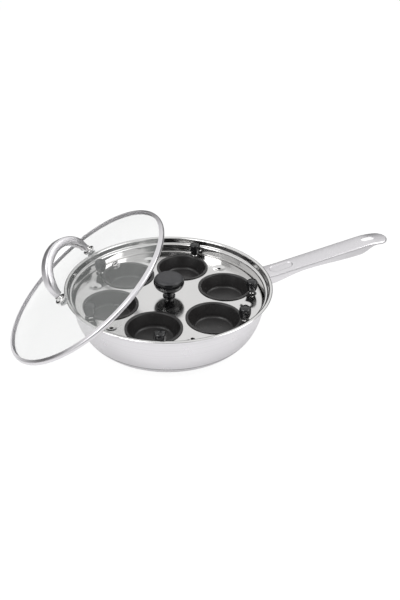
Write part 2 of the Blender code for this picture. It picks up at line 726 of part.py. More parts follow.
def make_glass(axis):
    """The domed glass, pierced for the two posts and the vent."""
    edge = math.asin(GLASS_RADIUS / DOME_BALL)
    turns = [edge * i / DOME_STEPS for i in range(DOME_STEPS + 1)]
    line = [(DOME_BALL * math.sin(t), DOME_CENTRE + DOME_BALL * math.cos(t)) for t in turns]
    glass = turned("lid_glass", line, clear_glass(), ROUND, axis, sheet=LID_GLASS)
    holes = [("post_hole_1", POST_PLACES[0], SCREW_RADIUS + LID_HOLE_PLAY),
             ("post_hole_2", POST_PLACES[1], SCREW_RADIUS + LID_HOLE_PLAY),
             ("vent_hole", VENT_PLACE, EYELET_TUBE + SEAT_GAP)]
    for name, place, radius in holes:
        cutter = peg(name, radius, -3 * LID_GLASS, LID_GLASS, SMALL_ROUND, axis)
        cutter.matrix_parent_inverse = Matrix.Identity(4)
        cutter.matrix_local = glass_matrix(place)
        boolean(glass, cutter)


def make_band(axis):
    """The steel band folded round the glass's edge."""
    lap = LID_RADIUS - BAND_LAP - BAND_SHEET
    over_edge = glass_top(GLASS_RADIUS) + SEAT_GAP
    over_lap = glass_top(lap) + SEAT_GAP
    inside = LID_RADIUS - BAND_SHEET
    line = [(LID_RADIUS - BAND_SHEET / 2, over_edge + BAND_SHEET), (LID_RADIUS, over_edge),
            (LID_RADIUS, BAND_SHEET / 2), (LID_RADIUS - BAND_SHEET / 2, 0.0), (lap, 0.0),
            (lap, BAND_SHEET), (inside, BAND_SHEET), (inside, over_edge), (lap, over_lap),
            (lap, over_lap + BAND_SHEET)]
    turned("lid_band", line, satin_steel(), ROUND, axis, closed=True)


def make_fixing(index, axis):
    """A post on the dome with its outer and inner seals and the screw from inside."""
    spot = add_empty(f"post_{index + 1}_axis")
    spot.parent = axis
    spot.matrix_local = glass_matrix(POST_PLACES[index])
    bore = SCREW_RADIUS + SEAT_GAP
    top = 2 * SEAT_GAP + SEAL_HEIGHT
    outer = ring_points(bore, POST_FOOT_RADIUS - SEAL_HEIGHT, SEAT_GAP, SEAT_GAP + SEAL_HEIGHT)
    turned(f"post_{index + 1}_outer_seal", outer, silicone(), SMALL_ROUND, spot, closed=True)
    under = -LID_GLASS - SEAT_GAP
    inner = ring_points(bore, INNER_SEAL_RADIUS, under - SEAL_HEIGHT, under)
    turned(f"post_{index + 1}_inner_seal", inner, silicone(), SMALL_ROUND, spot, closed=True)
    reach = top + POST_HEIGHT * POST_SCREW_SHARE
    line = [(0.0, top + POST_HEIGHT), (POST_RADIUS, top + POST_HEIGHT), (POST_RADIUS, top + POST_FOOT_HEIGHT),
            (POST_FOOT_RADIUS, top + POST_FOOT_HEIGHT / 2), (POST_FOOT_RADIUS, top), (bore, top),
            (bore, reach + SEAT_GAP), (0.0, reach + SEAT_GAP)]
    turned(f"post_{index + 1}", line, polished_steel(), SMALL_ROUND, spot)
    turned(f"post_{index + 1}_screw", screw_points(reach, under - SEAL_HEIGHT - SEAT_GAP),
           polished_steel(), SMALL_ROUND, spot)


def make_bow(axis):
    """The bow handle, an oval bar that arches from one post to the other."""
    seat = 3 * SEAT_GAP + SEAL_HEIGHT + POST_HEIGHT
    ends = [glass_matrix(place) @ Vector((0, 0, seat)) for place in POST_PLACES]
    half = (ends[1] - ends[0]).length / 2 - BOW_INSET
    low = ends[0].z + POST_RADIUS * POST_PLACES[0].length / DOME_BALL
    curve = bpy.data.curves.new("bow", "CURVE")
    curve.dimensions = "3D"
    curve.bevel_depth = BOW_THICKNESS / 2
    curve.bevel_resolution = 2
    curve.use_fill_caps = True
    spline = curve.splines.new("POLY")
    spline.points.add(BOW_STEPS)
    for step, point in enumerate(spline.points):
        turn = math.pi * (1 - step / BOW_STEPS)
        point.co = (half * math.cos(turn), 0.0, low + BOW_RISE * math.sin(turn), 1)
        point.radius = BOW_TIP_SHARE + (1 - BOW_TIP_SHARE) * smooth(math.sin(turn) * 2)
    wire = bpy.data.objects.new("bow_wire", curve)
    collection("cutters").objects.link(wire)
    bpy.context.view_layer.update()
    evaluated = wire.evaluated_get(bpy.context.evaluated_depsgraph_get())
    shape = bmesh.new()
    shape.from_mesh(bpy.data.meshes.new_from_object(evaluated))
    bpy.data.objects.remove(wire)
    bmesh.ops.remove_doubles(shape, verts=shape.verts, dist=1e-6)
    bmesh.ops.scale(shape, vec=(1, BOW_WIDTH / BOW_THICKNESS, 1), verts=shape.verts)
    bmesh.ops.rotate(shape, matrix=Matrix.Rotation(POST_TURN, 3, "Z"), verts=shape.verts)
    add_object("bow_handle", mesh_from(shape, "bow_handle"), satin_steel(), axis)


def make_eyelet(axis):
    """The steam vent's eyelet, flanged on both faces of the glass."""
    over = SEAT_GAP
    under = -LID_GLASS - SEAT_GAP
    line = [(EYELET_RADIUS, over + EYELET_SHEET / 2), (EYELET_RADIUS, over), (EYELET_TUBE, over),
            (EYELET_TUBE, under), (EYELET_RADIUS, under), (EYELET_RADIUS, under - EYELET_SHEET / 2),
            (EYELET_BORE, under - EYELET_SHEET), (EYELET_BORE, over + EYELET_SHEET)]
    eyelet = turned("lid_vent_eyelet", line, polished_steel(), SMALL_ROUND, axis, closed=True)
    eyelet.matrix_local = glass_matrix(VENT_PLACE)


def make_lid():
    axis = add_empty("lid_axis", lean_matrix())
    make_glass(axis)
    make_band(axis)
    for index in range(len(POST_PLACES)):
        make_fixing(index, axis)
    make_bow(axis)
    make_eyelet(axis)


def main():
    for old in list(bpy.data.objects):
        bpy.data.objects.remove(old)
    make_pan_body()
    make_base()
    make_handle()
    make_handle_bracket()
    tray_axis = add_empty("tray_axis", Matrix.Translation((0, 0, TRAY_TOP)))
    make_tray(tray_axis)
    make_tray_knob(tray_axis)
    for index in range(CUP_COUNT):
        make_cup(index, tray_axis)
    make_lid()
    bpy.context.view_layer.update()


main()
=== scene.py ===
"""The look of a steel egg pan: drawn pan, stamped handle, tray with six cups and a leaning glass lid."""

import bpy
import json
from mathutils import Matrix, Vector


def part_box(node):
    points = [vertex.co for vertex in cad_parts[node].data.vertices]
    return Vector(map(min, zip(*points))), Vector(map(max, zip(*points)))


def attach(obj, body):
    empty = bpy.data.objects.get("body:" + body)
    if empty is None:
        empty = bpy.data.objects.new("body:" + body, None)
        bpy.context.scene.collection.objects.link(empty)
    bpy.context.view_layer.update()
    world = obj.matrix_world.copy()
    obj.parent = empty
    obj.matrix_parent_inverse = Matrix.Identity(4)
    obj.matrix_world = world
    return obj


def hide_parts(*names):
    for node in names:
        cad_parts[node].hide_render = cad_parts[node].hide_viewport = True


bl_info = {
    "name": "Egg pan",
    "version": (1, 0, 0),
    "blender": (4, 5, 0),
    "location": "3D View > Sidebar > Egg Pan",
    "description": "Models the surfaces and finishes of a steel egg pan round its solids",
    "category": "Object",
}

import json
import math

import bmesh
import bpy
from bmesh.types import BMEdge, BMVert
from bpy.props import FloatProperty, FloatVectorProperty, IntProperty, PointerProperty
from bpy.types import NodeSocket, Operator, Panel, PropertyGroup
from mathutils import Matrix, Vector

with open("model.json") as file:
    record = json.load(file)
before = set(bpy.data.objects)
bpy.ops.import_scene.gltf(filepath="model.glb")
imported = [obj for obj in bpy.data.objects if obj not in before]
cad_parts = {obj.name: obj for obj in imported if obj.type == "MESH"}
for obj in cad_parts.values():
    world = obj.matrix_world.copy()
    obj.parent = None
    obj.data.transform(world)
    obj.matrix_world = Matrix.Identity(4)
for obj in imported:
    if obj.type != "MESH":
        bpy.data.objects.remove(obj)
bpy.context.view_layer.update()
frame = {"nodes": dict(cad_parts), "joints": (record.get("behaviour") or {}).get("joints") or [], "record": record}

MM = 0.001
SEAT = 0.3 * MM
UP = Vector((0.0, 0.0, 1.0))
CUPS = range(1, 7)
POSTS = range(1, 3)

# What the frame says of bodies and sizes
BODY_OF = {node: body for body, nodes in frame["record"]["behaviour"]["bodies"].items() for node in nodes}
PAN_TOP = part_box("pan_body")[1].z
BASE_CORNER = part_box("base_cap")[1]
TRAY_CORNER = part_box("tray")[1]


# Settings

def metres(name, description, default):
    """A setting for a length."""
    return FloatProperty(name=name, description=description, default=default, unit="LENGTH")


def degrees(name, description, default):
    """A setting for an angle."""
    return FloatProperty(name=name, description=description, default=math.radians(default),
                         subtype="ANGLE", unit="ROTATION")


def spot(name, description, default):
    """A setting for a place."""
    return FloatVectorProperty(name=name, description=description, default=default, size=len(default),
                               subtype="XYZ", unit="LENGTH")


def tone(name, description, default):
    """A setting for a colour."""
    return FloatVectorProperty(name=name, description=description, default=default, size=3,
                               min=0.0, max=1.0, subtype="COLOR")


def strength(name, description, default):
    """A setting for a plain strength."""
    return FloatProperty(name=name, description=description, default=default, min=0.0)


class EGGPAN_PG_pan(PropertyGroup):
    """Sizes of the drawn pan and its base."""

    rim_radius: metres("Rim radius", "Outer radius of the lip", 140 * MM)
    height: metres("Height", "Height of the lip above the table", PAN_TOP)
    sheet: metres("Sheet", "Thickness of the drawn steel", 1 * MM)
    lip_width: metres("Lip width", "From the lip's edge to the recess for the lid", 6 * MM)
    lip_roll: metres("Lip roll", "Radius at which the lip's edge turns down", 1.2 * MM)
    recess_depth: metres("Recess depth", "From the lip down to the ledge", 8 * MM)
    ledge_width: metres("Ledge width", "Width of the ledge that carries the lid", 4.8 * MM)
    base_radius: metres("Base radius", "Radius of the capsule base", BASE_CORNER.x)
    base_height: metres("Base height", "Height of the capsule base", BASE_CORNER.z)
    base_edge: metres("Base edge", "Radius of the base's lower edge", 1.3 * MM)
    seam_depth: metres("Seam depth", "Depth of the pressed line above the base", 0.8 * MM)
    seam_height: metres("Seam height", "Height of that line above the table", 19 * MM)


class EGGPAN_PG_handle(PropertyGroup):
    """Sizes of the stamped handle."""

    length: metres("Length", "Along the handle from the pan's recess wall", 198 * MM)
    half_width: metres("Half width", "From the spine to the outer side", 15.5 * MM)
    sheet: metres("Sheet", "Thickness of the stamped steel", 1.4 * MM)
    drop: metres("Drop", "Top of the root below the pan's rim", 5.4 * MM)
    crown: metres("Crown", "Fall of the top face from its spine to its sides", 1 * MM)
    edge: metres("Edge", "Radius at which the top face turns down", 2.4 * MM)
    slot_length: metres("Slot length", "Length of the hanging slot", 20 * MM)
    slot_width: metres("Slot width", "Width of the hanging slot", 10.5 * MM)
    slot_at: metres("Slot place", "From the tip to the middle of the slot", 30 * MM)
    thumb_length: metres("Thumb rest length", "Length of the pressed recess", 34 * MM)
    thumb_width: metres("Thumb rest width", "Width of the pressed recess", 15 * MM)
    thumb_depth: metres("Thumb rest depth", "Depth of the pressed recess", 1.1 * MM)
    thumb_at: metres("Thumb rest place", "From the root to its middle", 30 * MM)


class EGGPAN_PG_tray(PropertyGroup):
    """Sizes of the tray and its knob."""

    top: metres("Top", "Height of the tray's plate above the table", TRAY_CORNER.z)
    radius: metres("Radius", "Outer radius of the tray's skirt", TRAY_CORNER.x)
    sheet: metres("Sheet", "Thickness of the tray's steel", 1 * MM)
    edge: metres("Edge", "Radius of the turned-down edge", 2 * MM)
    skirt: metres("Skirt", "Height of the turned-down skirt", 6.6 * MM)
    hole_play: metres("Hole play", "Between a cup's bowl and its hole", 1 * MM)
    vent_circle: metres("Vent circle", "From the tray's middle to a vent", 105.5 * MM)
    vent_radius: metres("Vent radius", "Radius of a vent hole", 2.7 * MM)
    dimple_radius: metres("Dimple radius", "Radius of the dish round a vent", 8.6 * MM)
    dimple_depth: metres("Dimple depth", "Depth of the dish round a vent", 1.1 * MM)
    knob_height: metres("Knob height", "Height of the middle knob above the plate", 29.8 * MM)
    knob_radius: metres("Knob radius", "Radius of the middle knob", 20.8 * MM)
    knob_neck: metres("Knob neck", "Radius of the middle knob's neck", 6.8 * MM)


class EGGPAN_PG_cups(PropertyGroup):
    """Sizes of a cup, its collar and its grip."""

    radius: metres("Flange radius", "Outer radius of a cup's flange", 37.3 * MM)
    flange: metres("Flange", "Width of a cup's flange", 3.2 * MM)
    sheet: metres("Sheet", "Thickness of the coated steel", 1 * MM)
    depth: metres("Depth", "Depth of a cup below its flange", 18 * MM)
    taper: metres("Taper", "How much a cup narrows down to its bottom", 7 * MM)
    ear_radius: metres("Ear radius", "Radius of the ear under the grip", 7 * MM)
    collar_radius: metres("Collar radius", "Radius of the bright collar", 4.6 * MM)
    grip_radius: metres("Grip radius", "Largest radius of a cup's grip", 7.9 * MM)
    grip_foot: metres("Grip foot", "Radius of a grip's lower end", 5.7 * MM)


class EGGPAN_PG_lid(PropertyGroup):
    """Sizes of the glass lid, its band and its handle."""

    radius: metres("Radius", "Outer radius of the steel band", 131.6 * MM)
    dome: metres("Dome", "Height of the glass above the band's lower edge", 21 * MM)
    glass: metres("Glass", "Thickness of the glass", 3 * MM)
    band_sheet: metres("Band sheet", "Thickness of the band's steel", 0.8 * MM)
    band_lap: metres("Band lap", "How far the band laps over the glass", 4.2 * MM)
    seal: metres("Seal", "Thickness of a seal under a post", 1.2 * MM)
    post_spacing: metres("Post spacing", "Between the two posts", 86 * MM)
    post_turn: degrees("Post turn", "Turn of the bow in the lid", 54.0)
    post_height: metres("Post height", "Height of a post with its foot", 6.2 * MM)
    post_foot: metres("Post foot", "Radius of a post's foot", 8 * MM)
    bow_rise: metres("Bow rise", "Height of the bow over its ends", 38 * MM)
    bow_width: metres("Bow width", "Width of the bow's strap", 13.4 * MM)
    bow_thickness: metres("Bow thickness", "Thickness of the strap at its crown", 11.6 * MM)
    vent_place: spot("Vent place", "Place of the steam vent in the lid", (60 * MM, -39 * MM))


class EGGPAN_PG_finish(PropertyGroup):
    """Colours of the finishes."""

    satin: tone("Satin steel", "Brushed steel of the pan and handles", (0.735, 0.722, 0.742))
    polished: tone("Polished steel", "Mirror steel inside the pan", (0.70, 0.695, 0.69))
    aluminium: tone("Aluminium", "Heat disc in the base", (0.75, 0.75, 0.76))
    bakelite: tone("Bakelite", "Moulded grips", (0.012, 0.012, 0.013))
    coating: tone("Coating", "Non-stick coating of the cups", (0.022, 0.021, 0.021))
    glass: tone("Glass", "Clear glass of the lid", (0.62, 0.64, 0.63))
    silicone: tone("Silicone", "Seals under the posts", (0.75, 0.76, 0.76))
    veil: FloatProperty(name="Veil", default=0.13, min=0.0, max=1.0, subtype="FACTOR",
                        description="How much of what lies behind it one face of the glass hides")


class EGGPAN_PG_stage(PropertyGroup):
    """The camera, the floor and the lights."""

    camera_place: spot("Camera place", "Where the camera stands", (-0.2202, -0.7751, 0.548))
    azimuth: degrees("Azimuth", "Turn of the view about the pan", -18.87)
    elevation: degrees("Elevation", "How far the view looks down", 31.83)
    roll: degrees("Roll", "Turn of the picture about the line of sight", 1.02)
    lens: FloatProperty(name="Lens", description="Focal length in millimetres on a 36 mm sensor",
                        default=41.47, min=1.0)
    floor_size: metres("Floor", "Side of the white floor", 30.0)
    key_power: FloatProperty(name="Key light", description="Power of the large soft light on the left",
                             default=9.0, unit="POWER")
    fill_power: FloatProperty(name="Fill light", description="Power of the soft light on the right",
                              default=5.0, unit="POWER")
    sky: strength("Sky", "Strength of the even light from all round", 0.62)
    dusk: strength("Dusk", "Tone of the room's horizon behind the pan, as metal shows it", 0.05)
    dark: strength("Dark", "Tone of the room behind the camera, as metal shows it", 0.05)


class EGGPAN_PG_settings(PropertyGroup):
    """All settings of the egg pan."""

    pan: PointerProperty(type=EGGPAN_PG_pan, name="Pan", description="Pan and base")
    handle: PointerProperty(type=EGGPAN_PG_handle, name="Handle", description="Long handle")
    tray: PointerProperty(type=EGGPAN_PG_tray, name="Tray", description="Tray and its knob")
    cups: PointerProperty(type=EGGPAN_PG_cups, name="Cups", description="Cups and grips")
    lid: PointerProperty(type=EGGPAN_PG_lid, name="Lid", description="Glass lid")
    finish: PointerProperty(type=EGGPAN_PG_finish, name="Finish", description="Colours")
    stage: PointerProperty(type=EGGPAN_PG_stage, name="Stage", description="Camera and lights")
    sides: IntProperty(name="Sides", description="Steps of a large turned piece", default=160, min=24)
    small_sides: IntProperty(name="Small sides", description="Steps of a small turned piece",
                             default=48, min=12)


def settings():
    return bpy.context.scene.egg_pan


# Shader nodes

def feed(tree, made, inputs):
    """Gives a node's inputs their values, or the sockets that feed them."""
    for key, value in inputs.items():
        if isinstance(value, NodeSocket):
            tree.links.new(value, made.inputs[key])
        else:
            made.inputs[key].default_value = value


def wired(tree, kind, output, inputs=None, **values):
    """An output of a new node with its settings and inputs."""
    made = tree.nodes.new(kind)
    for key, value in values.items():
        setattr(made, key, value)
    feed(tree, made, inputs or {})
    return made.outputs[output]


def placed_coordinates(tree, place=None, scale=(1.0, 1.0, 1.0)):
    """Object coordinates seen from a piece's own axes."""
    vector = wired(tree, "ShaderNodeTexCoord", "Object")
    if place is not None:
        axes = {"Vector": vector, "Location": place.translation, "Rotation": place.to_euler()}
        vector = wired(tree, "ShaderNodeMapping", "Vector", axes, vector_type="TEXTURE")
    return wired(tree, "ShaderNodeMapping", "Vector", {"Vector": vector, "Scale": scale})


def reckon(tree, operation, *values):
    """A number worked out from others."""
    return wired(tree, "ShaderNodeMath", "Value", dict(enumerate(values)), operation=operation)


def reckon_vector(tree, operation, output, *values):
    """A vector or a number worked out from vectors."""
    return wired(tree, "ShaderNodeVectorMath", output, dict(enumerate(values)), operation=operation)


def level_part(tree, vector):
    """A vector without its height."""
    return reckon_vector(tree, "MULTIPLY", "Vector", vector, (1.0, 1.0, 0.0))


def size_of(tree, vector):
    return reckon_vector(tree, "LENGTH", "Value", vector)


def height_of(tree, vector):
    return wired(tree, "ShaderNodeSeparateXYZ", "Z", {"Vector": vector})


def rings_about(tree, place=None):
    """Coordinates that only change with radius and height, as brushing in a lathe leaves its lines."""
    vector = placed_coordinates(tree, place)
    return wired(tree, "ShaderNodeCombineXYZ", "Vector",
                 {"X": size_of(tree, level_part(tree, vector)), "Y": height_of(tree, vector)})


def noise(tree, vector, scale, detail=4.0):
    """Noise over some coordinates."""
    return wired(tree, "ShaderNodeTexNoise", "Fac", {"Vector": vector, "Scale": scale, "Detail": detail})


def clouds(tree, scale, detail=4.0):
    """Even noise all over a piece."""
    return noise(tree, placed_coordinates(tree), scale, detail)


def spread(tree, value, low, high, start=0.3, end=0.7, way="LINEAR"):
    """Maps a pattern to a range of values."""
    return wired(tree, "ShaderNodeMapRange", "Result",
                 {"Value": value, "From Min": start, "From Max": end, "To Min": low, "To Max": high},
                 interpolation_type=way)


def eased(tree, value, start, end, low, high):
    """Maps a value to a range with a soft start and stop."""
    return spread(tree, value, low, high, start, end, "SMOOTHSTEP")


def blend(tree, share, first, second, kind="FLOAT"):
    """Mixes two values or colours."""
    return wired(tree, "ShaderNodeMix", "Result", {"Factor": share, "A": first, "B": second}, data_type=kind)


# Finishes

LATHE_LINES = 1400.0
DISC_LINES = 900.0
BELT_LINES = 60.0


def shade(colour, share):
    """A colour made darker or lighter."""
    return tuple(min(1.0, part * share) for part in colour)


def new_finish(name, colour, metallic, roughness):
    """A Principled material, its node tree and its shader."""
    made = bpy.data.materials.new(name)
    made.use_nodes = True
    made.diffuse_color = (*colour, 1.0)
    tree = made.node_tree
    shader = tree.nodes["Principled BSDF"]
    feed(tree, shader, {"Base Color": (*colour, 1.0), "Metallic": metallic, "Roughness": roughness})
    return made, tree, shader


def relief(tree, pattern, depth, share):
    """Lets a pattern stand out of the surface by a real depth."""
    return wired(tree, "ShaderNodeBump", "Normal", {"Strength": share, "Distance": depth, "Height": pattern})


def cover(tree, shader, colour, gloss, pattern, tones, normal):
    """Joins a finish's gloss, its range of tones by a pattern and its relief to its shader."""
    low, high = ((*shade(colour, share), 1.0) for share in tones)
    feed(tree, shader, {"Roughness": gloss, "Base Color": blend(tree, pattern, low, high, "RGBA"),
                        "Normal": normal})


def satin_finish(name, colour, lines, place=None, along=None):
    """Brushed steel: fine lines, slow changes of gloss and faint differences of tone."""
    made, tree, shader = new_finish(name, colour, 1.0, 0.3)
    vector = placed_coordinates(tree, place, along) if along else rings_about(tree, place)
    grain = noise(tree, vector, lines, 3.0)
    cover(tree, shader, colour, spread(tree, clouds(tree, 22.0), 0.25, 0.36),
          spread(tree, grain, 0.0, 1.0), (0.93, 1.05), relief(tree, grain, depth=0.003 * MM, share=0.2))
    return made


def paint_shade_ring(made, height, reach, share):
    """Paints shade into a finish's colour in a ring round a height: a painted shadow in the pressed line, standing
    for the floor's contact shadow that the steel mirrors there.
    """
    tree = made.node_tree
    shader = tree.nodes["Principled BSDF"]
    # Painted shade: the base colour is scaled darker the nearer a point lies to the ring's height.
    off = reckon(tree, "SUBTRACT", height_of(tree, placed_coordinates(tree)), height)
    dark = eased(tree, reckon(tree, "ABSOLUTE", off), 0.0, reach, share, 1.0)
    plain = shader.inputs["Base Color"].links[0].from_socket
    feed(tree, shader, {"Base Color": wired(tree, "ShaderNodeVectorMath", "Vector",
                                            {"Vector": plain, "Scale": dark}, operation="SCALE")})
    return made


def polished_finish(name, colour, place=None, low=0.045, high=0.11):
    """Mirror steel with the faint rings of the polishing wheel and a few cloudy marks."""
    made, tree, shader = new_finish(name, colour, 1.0, 0.07)
    wheel = noise(tree, rings_about(tree, place), 900.0, 2.0)
    marks = clouds(tree, 30.0)
    cover(tree, shader, colour, spread(tree, marks, low, high),
          spread(tree, marks, 0.0, 1.0), (0.97, 1.03), relief(tree, wheel, depth=0.0008 * MM, share=0.3))
    return made


def bakelite_finish(name, colour, low, high):
    """Pressed black resin with a faint orange-peel skin."""
    made, tree, shader = new_finish(name, colour, 0.0, low)
    skin = clouds(tree, 420.0, 3.0)
    cover(tree, shader, colour, spread(tree, clouds(tree, 60.0), low, high), skin, (0.8, 1.3),
          relief(tree, skin, depth=0.008 * MM, share=0.35))
    return made


def coating_finish(name, colour):
    """Non-stick coating: dark, slightly grained, with tiny paler specks."""
    made, tree, shader = new_finish(name, colour, 0.0, 0.35)
    grain = clouds(tree, 1600.0, 2.0)
    specks = spread(tree, grain, 0.0, 1.0, 0.64, 0.74)
    cover(tree, shader, colour, spread(tree, clouds(tree, 70.0), 0.26, 0.42), specks, (1.0, 3.0),
          relief(tree, grain, depth=0.02 * MM, share=0.4))
    return made


def glass_finish(name, colour, veil):
    """Clear tempered glass that veils what lies behind it."""
    made, tree, shader = new_finish(name, colour, 0.0, 0.03)
    made.diffuse_color = (*colour, veil)
    wave = clouds(tree, 14.0, 1.0)
    feed(tree, shader, {"IOR": 1.5, "Alpha": spread(tree, wave, veil * 0.96, veil * 1.04),
                        "Normal": relief(tree, wave, depth=0.02 * MM, share=0.3)})
    return made


def silicone_finish(name, colour):
    """Soft translucent seal with a powdery skin."""
    made, tree, shader = new_finish(name, colour, 0.0, 0.5)
    skin = clouds(tree, 900.0)
    cover(tree, shader, colour, spread(tree, skin, 0.45, 0.6), skin, (0.94, 1.04),
          relief(tree, skin, depth=0.02 * MM, share=0.4))
    return made


def finish(name):
    """A finish by its name, made on first use."""
    found = bpy.data.materials.get(name)
    if found:
        return found
    colours = settings().finish
    steel, mirror, resin = tuple(colours.satin), tuple(colours.polished), tuple(colours.bakelite)
    makers = {
        # Brushed steel of the pan with a painted shade ring at the pressed line above the base.
        "pan_satin": lambda: paint_shade_ring(satin_finish(name, steel, LATHE_LINES),
                                         settings().pan.seam_height, reach=2.2 * MM, share=0.45),
        "handle_satin": lambda: satin_finish(name, steel, BELT_LINES, along=(0.6, 26.0, 26.0)),
        "lid_satin": lambda: satin_finish(name, steel, LATHE_LINES, lid_place()),
        "bow_satin": lambda: satin_finish(name, steel, BELT_LINES, bow_place(), (2.0, 26.0, 2.0)),
        "heat_disc": lambda: satin_finish(name, tuple(colours.aluminium), DISC_LINES),
        "pan_polished": lambda: polished_finish(name, mirror),
        "tray_polished": lambda: polished_finish(name, mirror, low=0.11, high=0.17),
        "small_polished": lambda: polished_finish(name, mirror, lid_place()),
        "bakelite_gloss": lambda: bakelite_finish(name, resin, 0.06, 0.12),
        "bakelite_matt": lambda: bakelite_finish(name, shade(resin, 3.5), 0.38, 0.46),
        "cup_coating": lambda: coating_finish(name, tuple(colours.coating)),
        "lid_glass_clear": lambda: glass_finish(name, tuple(colours.glass), colours.veil),
        "seal_silicone": lambda: silicone_finish(name, tuple(colours.silicone)),
    }
    return makers[name]()


# Shapes

CREASE = 40.0
FINE_CREASE = 32.0


def arc(centre, radius, start, end, steps):
    """Points on an arc, or on part of an ellipse where radius is a pair."""
    wide, high = radius if isinstance(radius, tuple) else (radius, radius)
    turns = [math.radians(start + (end - start) * step / steps) for step in range(steps + 1)]
    return [(centre[0] + wide * math.cos(turn), centre[1] + high * math.sin(turn)) for turn in turns]


def smooth(share):
    """A soft start and stop between 0 and 1."""
    held = min(1.0, max(0.0, share))
    return held * held * (3 - 2 * held)


def spun(line, sides, closed=False):
    """A profile of radius and height turned about the Z axis."""
    shape = bmesh.new()
    verts = [shape.verts.new((radius, 0.0, height)) for radius, height in line]
    edges = [shape.edges.new(pair) for pair in zip(verts, verts[1:])]
    if closed:
        edges.append(shape.edges.new((verts[-1], verts[0])))
    bmesh.ops.spin(shape, geom=verts + edges, cent=(0, 0, 0), axis=(0, 0, 1), angle=2 * math.pi,
                   steps=sides, use_merge=True)
    bmesh.ops.remove_doubles(shape, verts=shape.verts, dist=1e-7)
    bmesh.ops.dissolve_degenerate(shape, dist=1e-7, edges=shape.edges)
    bmesh.ops.recalc_face_normals(shape, faces=shape.faces)
    return shape


def face_towards(shape, direction):
    """Turns an open surface so that its face lying furthest that way looks that way."""
    shape.normal_update()
    furthest = max(shape.faces, key=lambda face: face.calc_center_median().dot(direction))
    if furthest.normal.dot(direction) < 0:
        bmesh.ops.reverse_faces(shape, faces=shape.faces)


def add_piece(name, shape, finishes, place=None):
    """A new object from a shape, with its place in its mesh."""
    if place is not None:
        bmesh.ops.transform(shape, matrix=place, verts=shape.verts)
    mesh = bpy.data.meshes.new(name)
    shape.to_mesh(mesh)
    shape.free()
    for entry in finishes:
        mesh.materials.append(finish(entry))
    piece = bpy.data.objects.new(name, mesh)
    bpy.context.scene.collection.objects.link(piece)
    return piece


def add_wall(piece, sheet, inside=0):
    """Gives an open surface its sheet, inwards from the drawn face."""
    wall = piece.modifiers.new("sheet", "SOLIDIFY")
    wall.thickness = sheet
    wall.offset = -1.0
    wall.use_even_offset = True
    wall.material_offset = inside
    wall.material_offset_rim = inside


def soften(piece, width, segments=2, angle=50.0):
    """Rounds the sharp edges of a piece."""
    round_off = piece.modifiers.new("edges", "BEVEL")
    round_off.width = width
    round_off.segments = segments
    round_off.profile = 0.5
    round_off.limit_method = "ANGLE"
    round_off.angle_limit = math.radians(angle)
    round_off.use_clamp_overlap = True


def settle(piece, sharp=CREASE):
    """Applies a piece's modifiers and shades it smooth between its sharp edges."""
    bpy.context.view_layer.update()
    evaluated = piece.evaluated_get(bpy.context.evaluated_depsgraph_get())
    made = bpy.data.meshes.new_from_object(evaluated)
    old = piece.data
    piece.modifiers.clear()
    piece.data = made
    made.name = piece.name
    bpy.data.meshes.remove(old)
    made.shade_smooth()
    made.set_sharp_from_angle(angle=math.radians(sharp))


def complete(piece, node, sharp=CREASE):
    """Settles a piece, which takes a node's place and body."""
    settle(piece, sharp)
    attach(piece, BODY_OF[node])
    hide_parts(node)


def keep_node(node, name):
    """A node whose own shape stays, with a better finish."""
    mesh = frame["nodes"][node].data
    mesh.materials.clear()
    mesh.materials.append(finish(name))


def shell(name, line, looks, sheet, direction=-UP, place=None, sides=None, inside=0):
    """A sheet from a turned line whose drawn face looks one way."""
    shape = spun(line, sides or settings().sides)
    face_towards(shape, direction)
    piece = add_piece(name, shape, looks, place)
    add_wall(piece, sheet, inside)
    return piece


def turned(name, node, line, look, place, closed=False, sides=None):
    """A turned solid piece that stands for a node."""
    shape = spun(line, sides or settings().small_sides, closed)
    complete(add_piece(name, shape, [look], place), node)


def extrude_edges(shape, edges):
    """Grows a wall from some edges, and gives its free edges and its new vertices."""
    grown = bmesh.ops.extrude_edge_only(shape, edges=edges)["geom"]
    fresh = {item for item in grown if isinstance(item, BMVert)}
    return [item for item in grown if isinstance(item, BMEdge) and item.is_boundary
            and all(vert in fresh for vert in item.verts)], fresh


def raise_faces(shape, faces, height):
    """Gives flat faces a height."""
    grown = bmesh.ops.extrude_face_region(shape, geom=faces)["geom"]
    bmesh.ops.translate(shape, vec=(0, 0, height),
                        verts=[item for item in grown if isinstance(item, BMVert)])
    bmesh.ops.recalc_face_normals(shape, faces=shape.faces)


def cut_with(piece, punch):
    """Lets a punch cut a piece."""
    cut = piece.modifiers.new("cut", "BOOLEAN")
    cut.operation = "DIFFERENCE"
    cut.object = punch


# Places read from the frame

def middle(points):
    """Middle of the box round some points."""
    return Vector([(min(p[axis] for p in points) + max(p[axis] for p in points)) / 2 for axis in range(3)])


def lid_place():
    """Axes of the leaning lid: its middle at the band's lower edge, Z square to the lid."""
    joint = next(joint for joint in frame["joints"] if joint["child"] == "lid")
    normal = Vector(joint["axis"]).normalized()
    aside = normal.cross(UP).normalized()
    turn = Matrix((aside.cross(normal), aside, normal))
    points = [turn @ vert.co for vert in frame["nodes"]["lid_band"].data.vertices]
    centre = middle(points)
    centre.z = min(point.z for point in points)
    return Matrix.Translation(turn.transposed() @ centre) @ turn.transposed().to_4x4()


def bow_place():
    """Axes of the bow, X along it."""
    return lid_place() @ Matrix.Rotation(settings().lid.post_turn, 4, "Z")


def dome_ball():
    """Radius of the ball that the glass is part of, the height of its middle and the glass's own radius."""
    lid = settings().lid
    edge = lid.radius - lid.band_sheet - SEAT
    rise = lid.dome - (lid.band_sheet + SEAT + lid.glass)
    radius = (edge ** 2 + rise ** 2) / (2 * rise)
    return radius, lid.dome - radius, edge


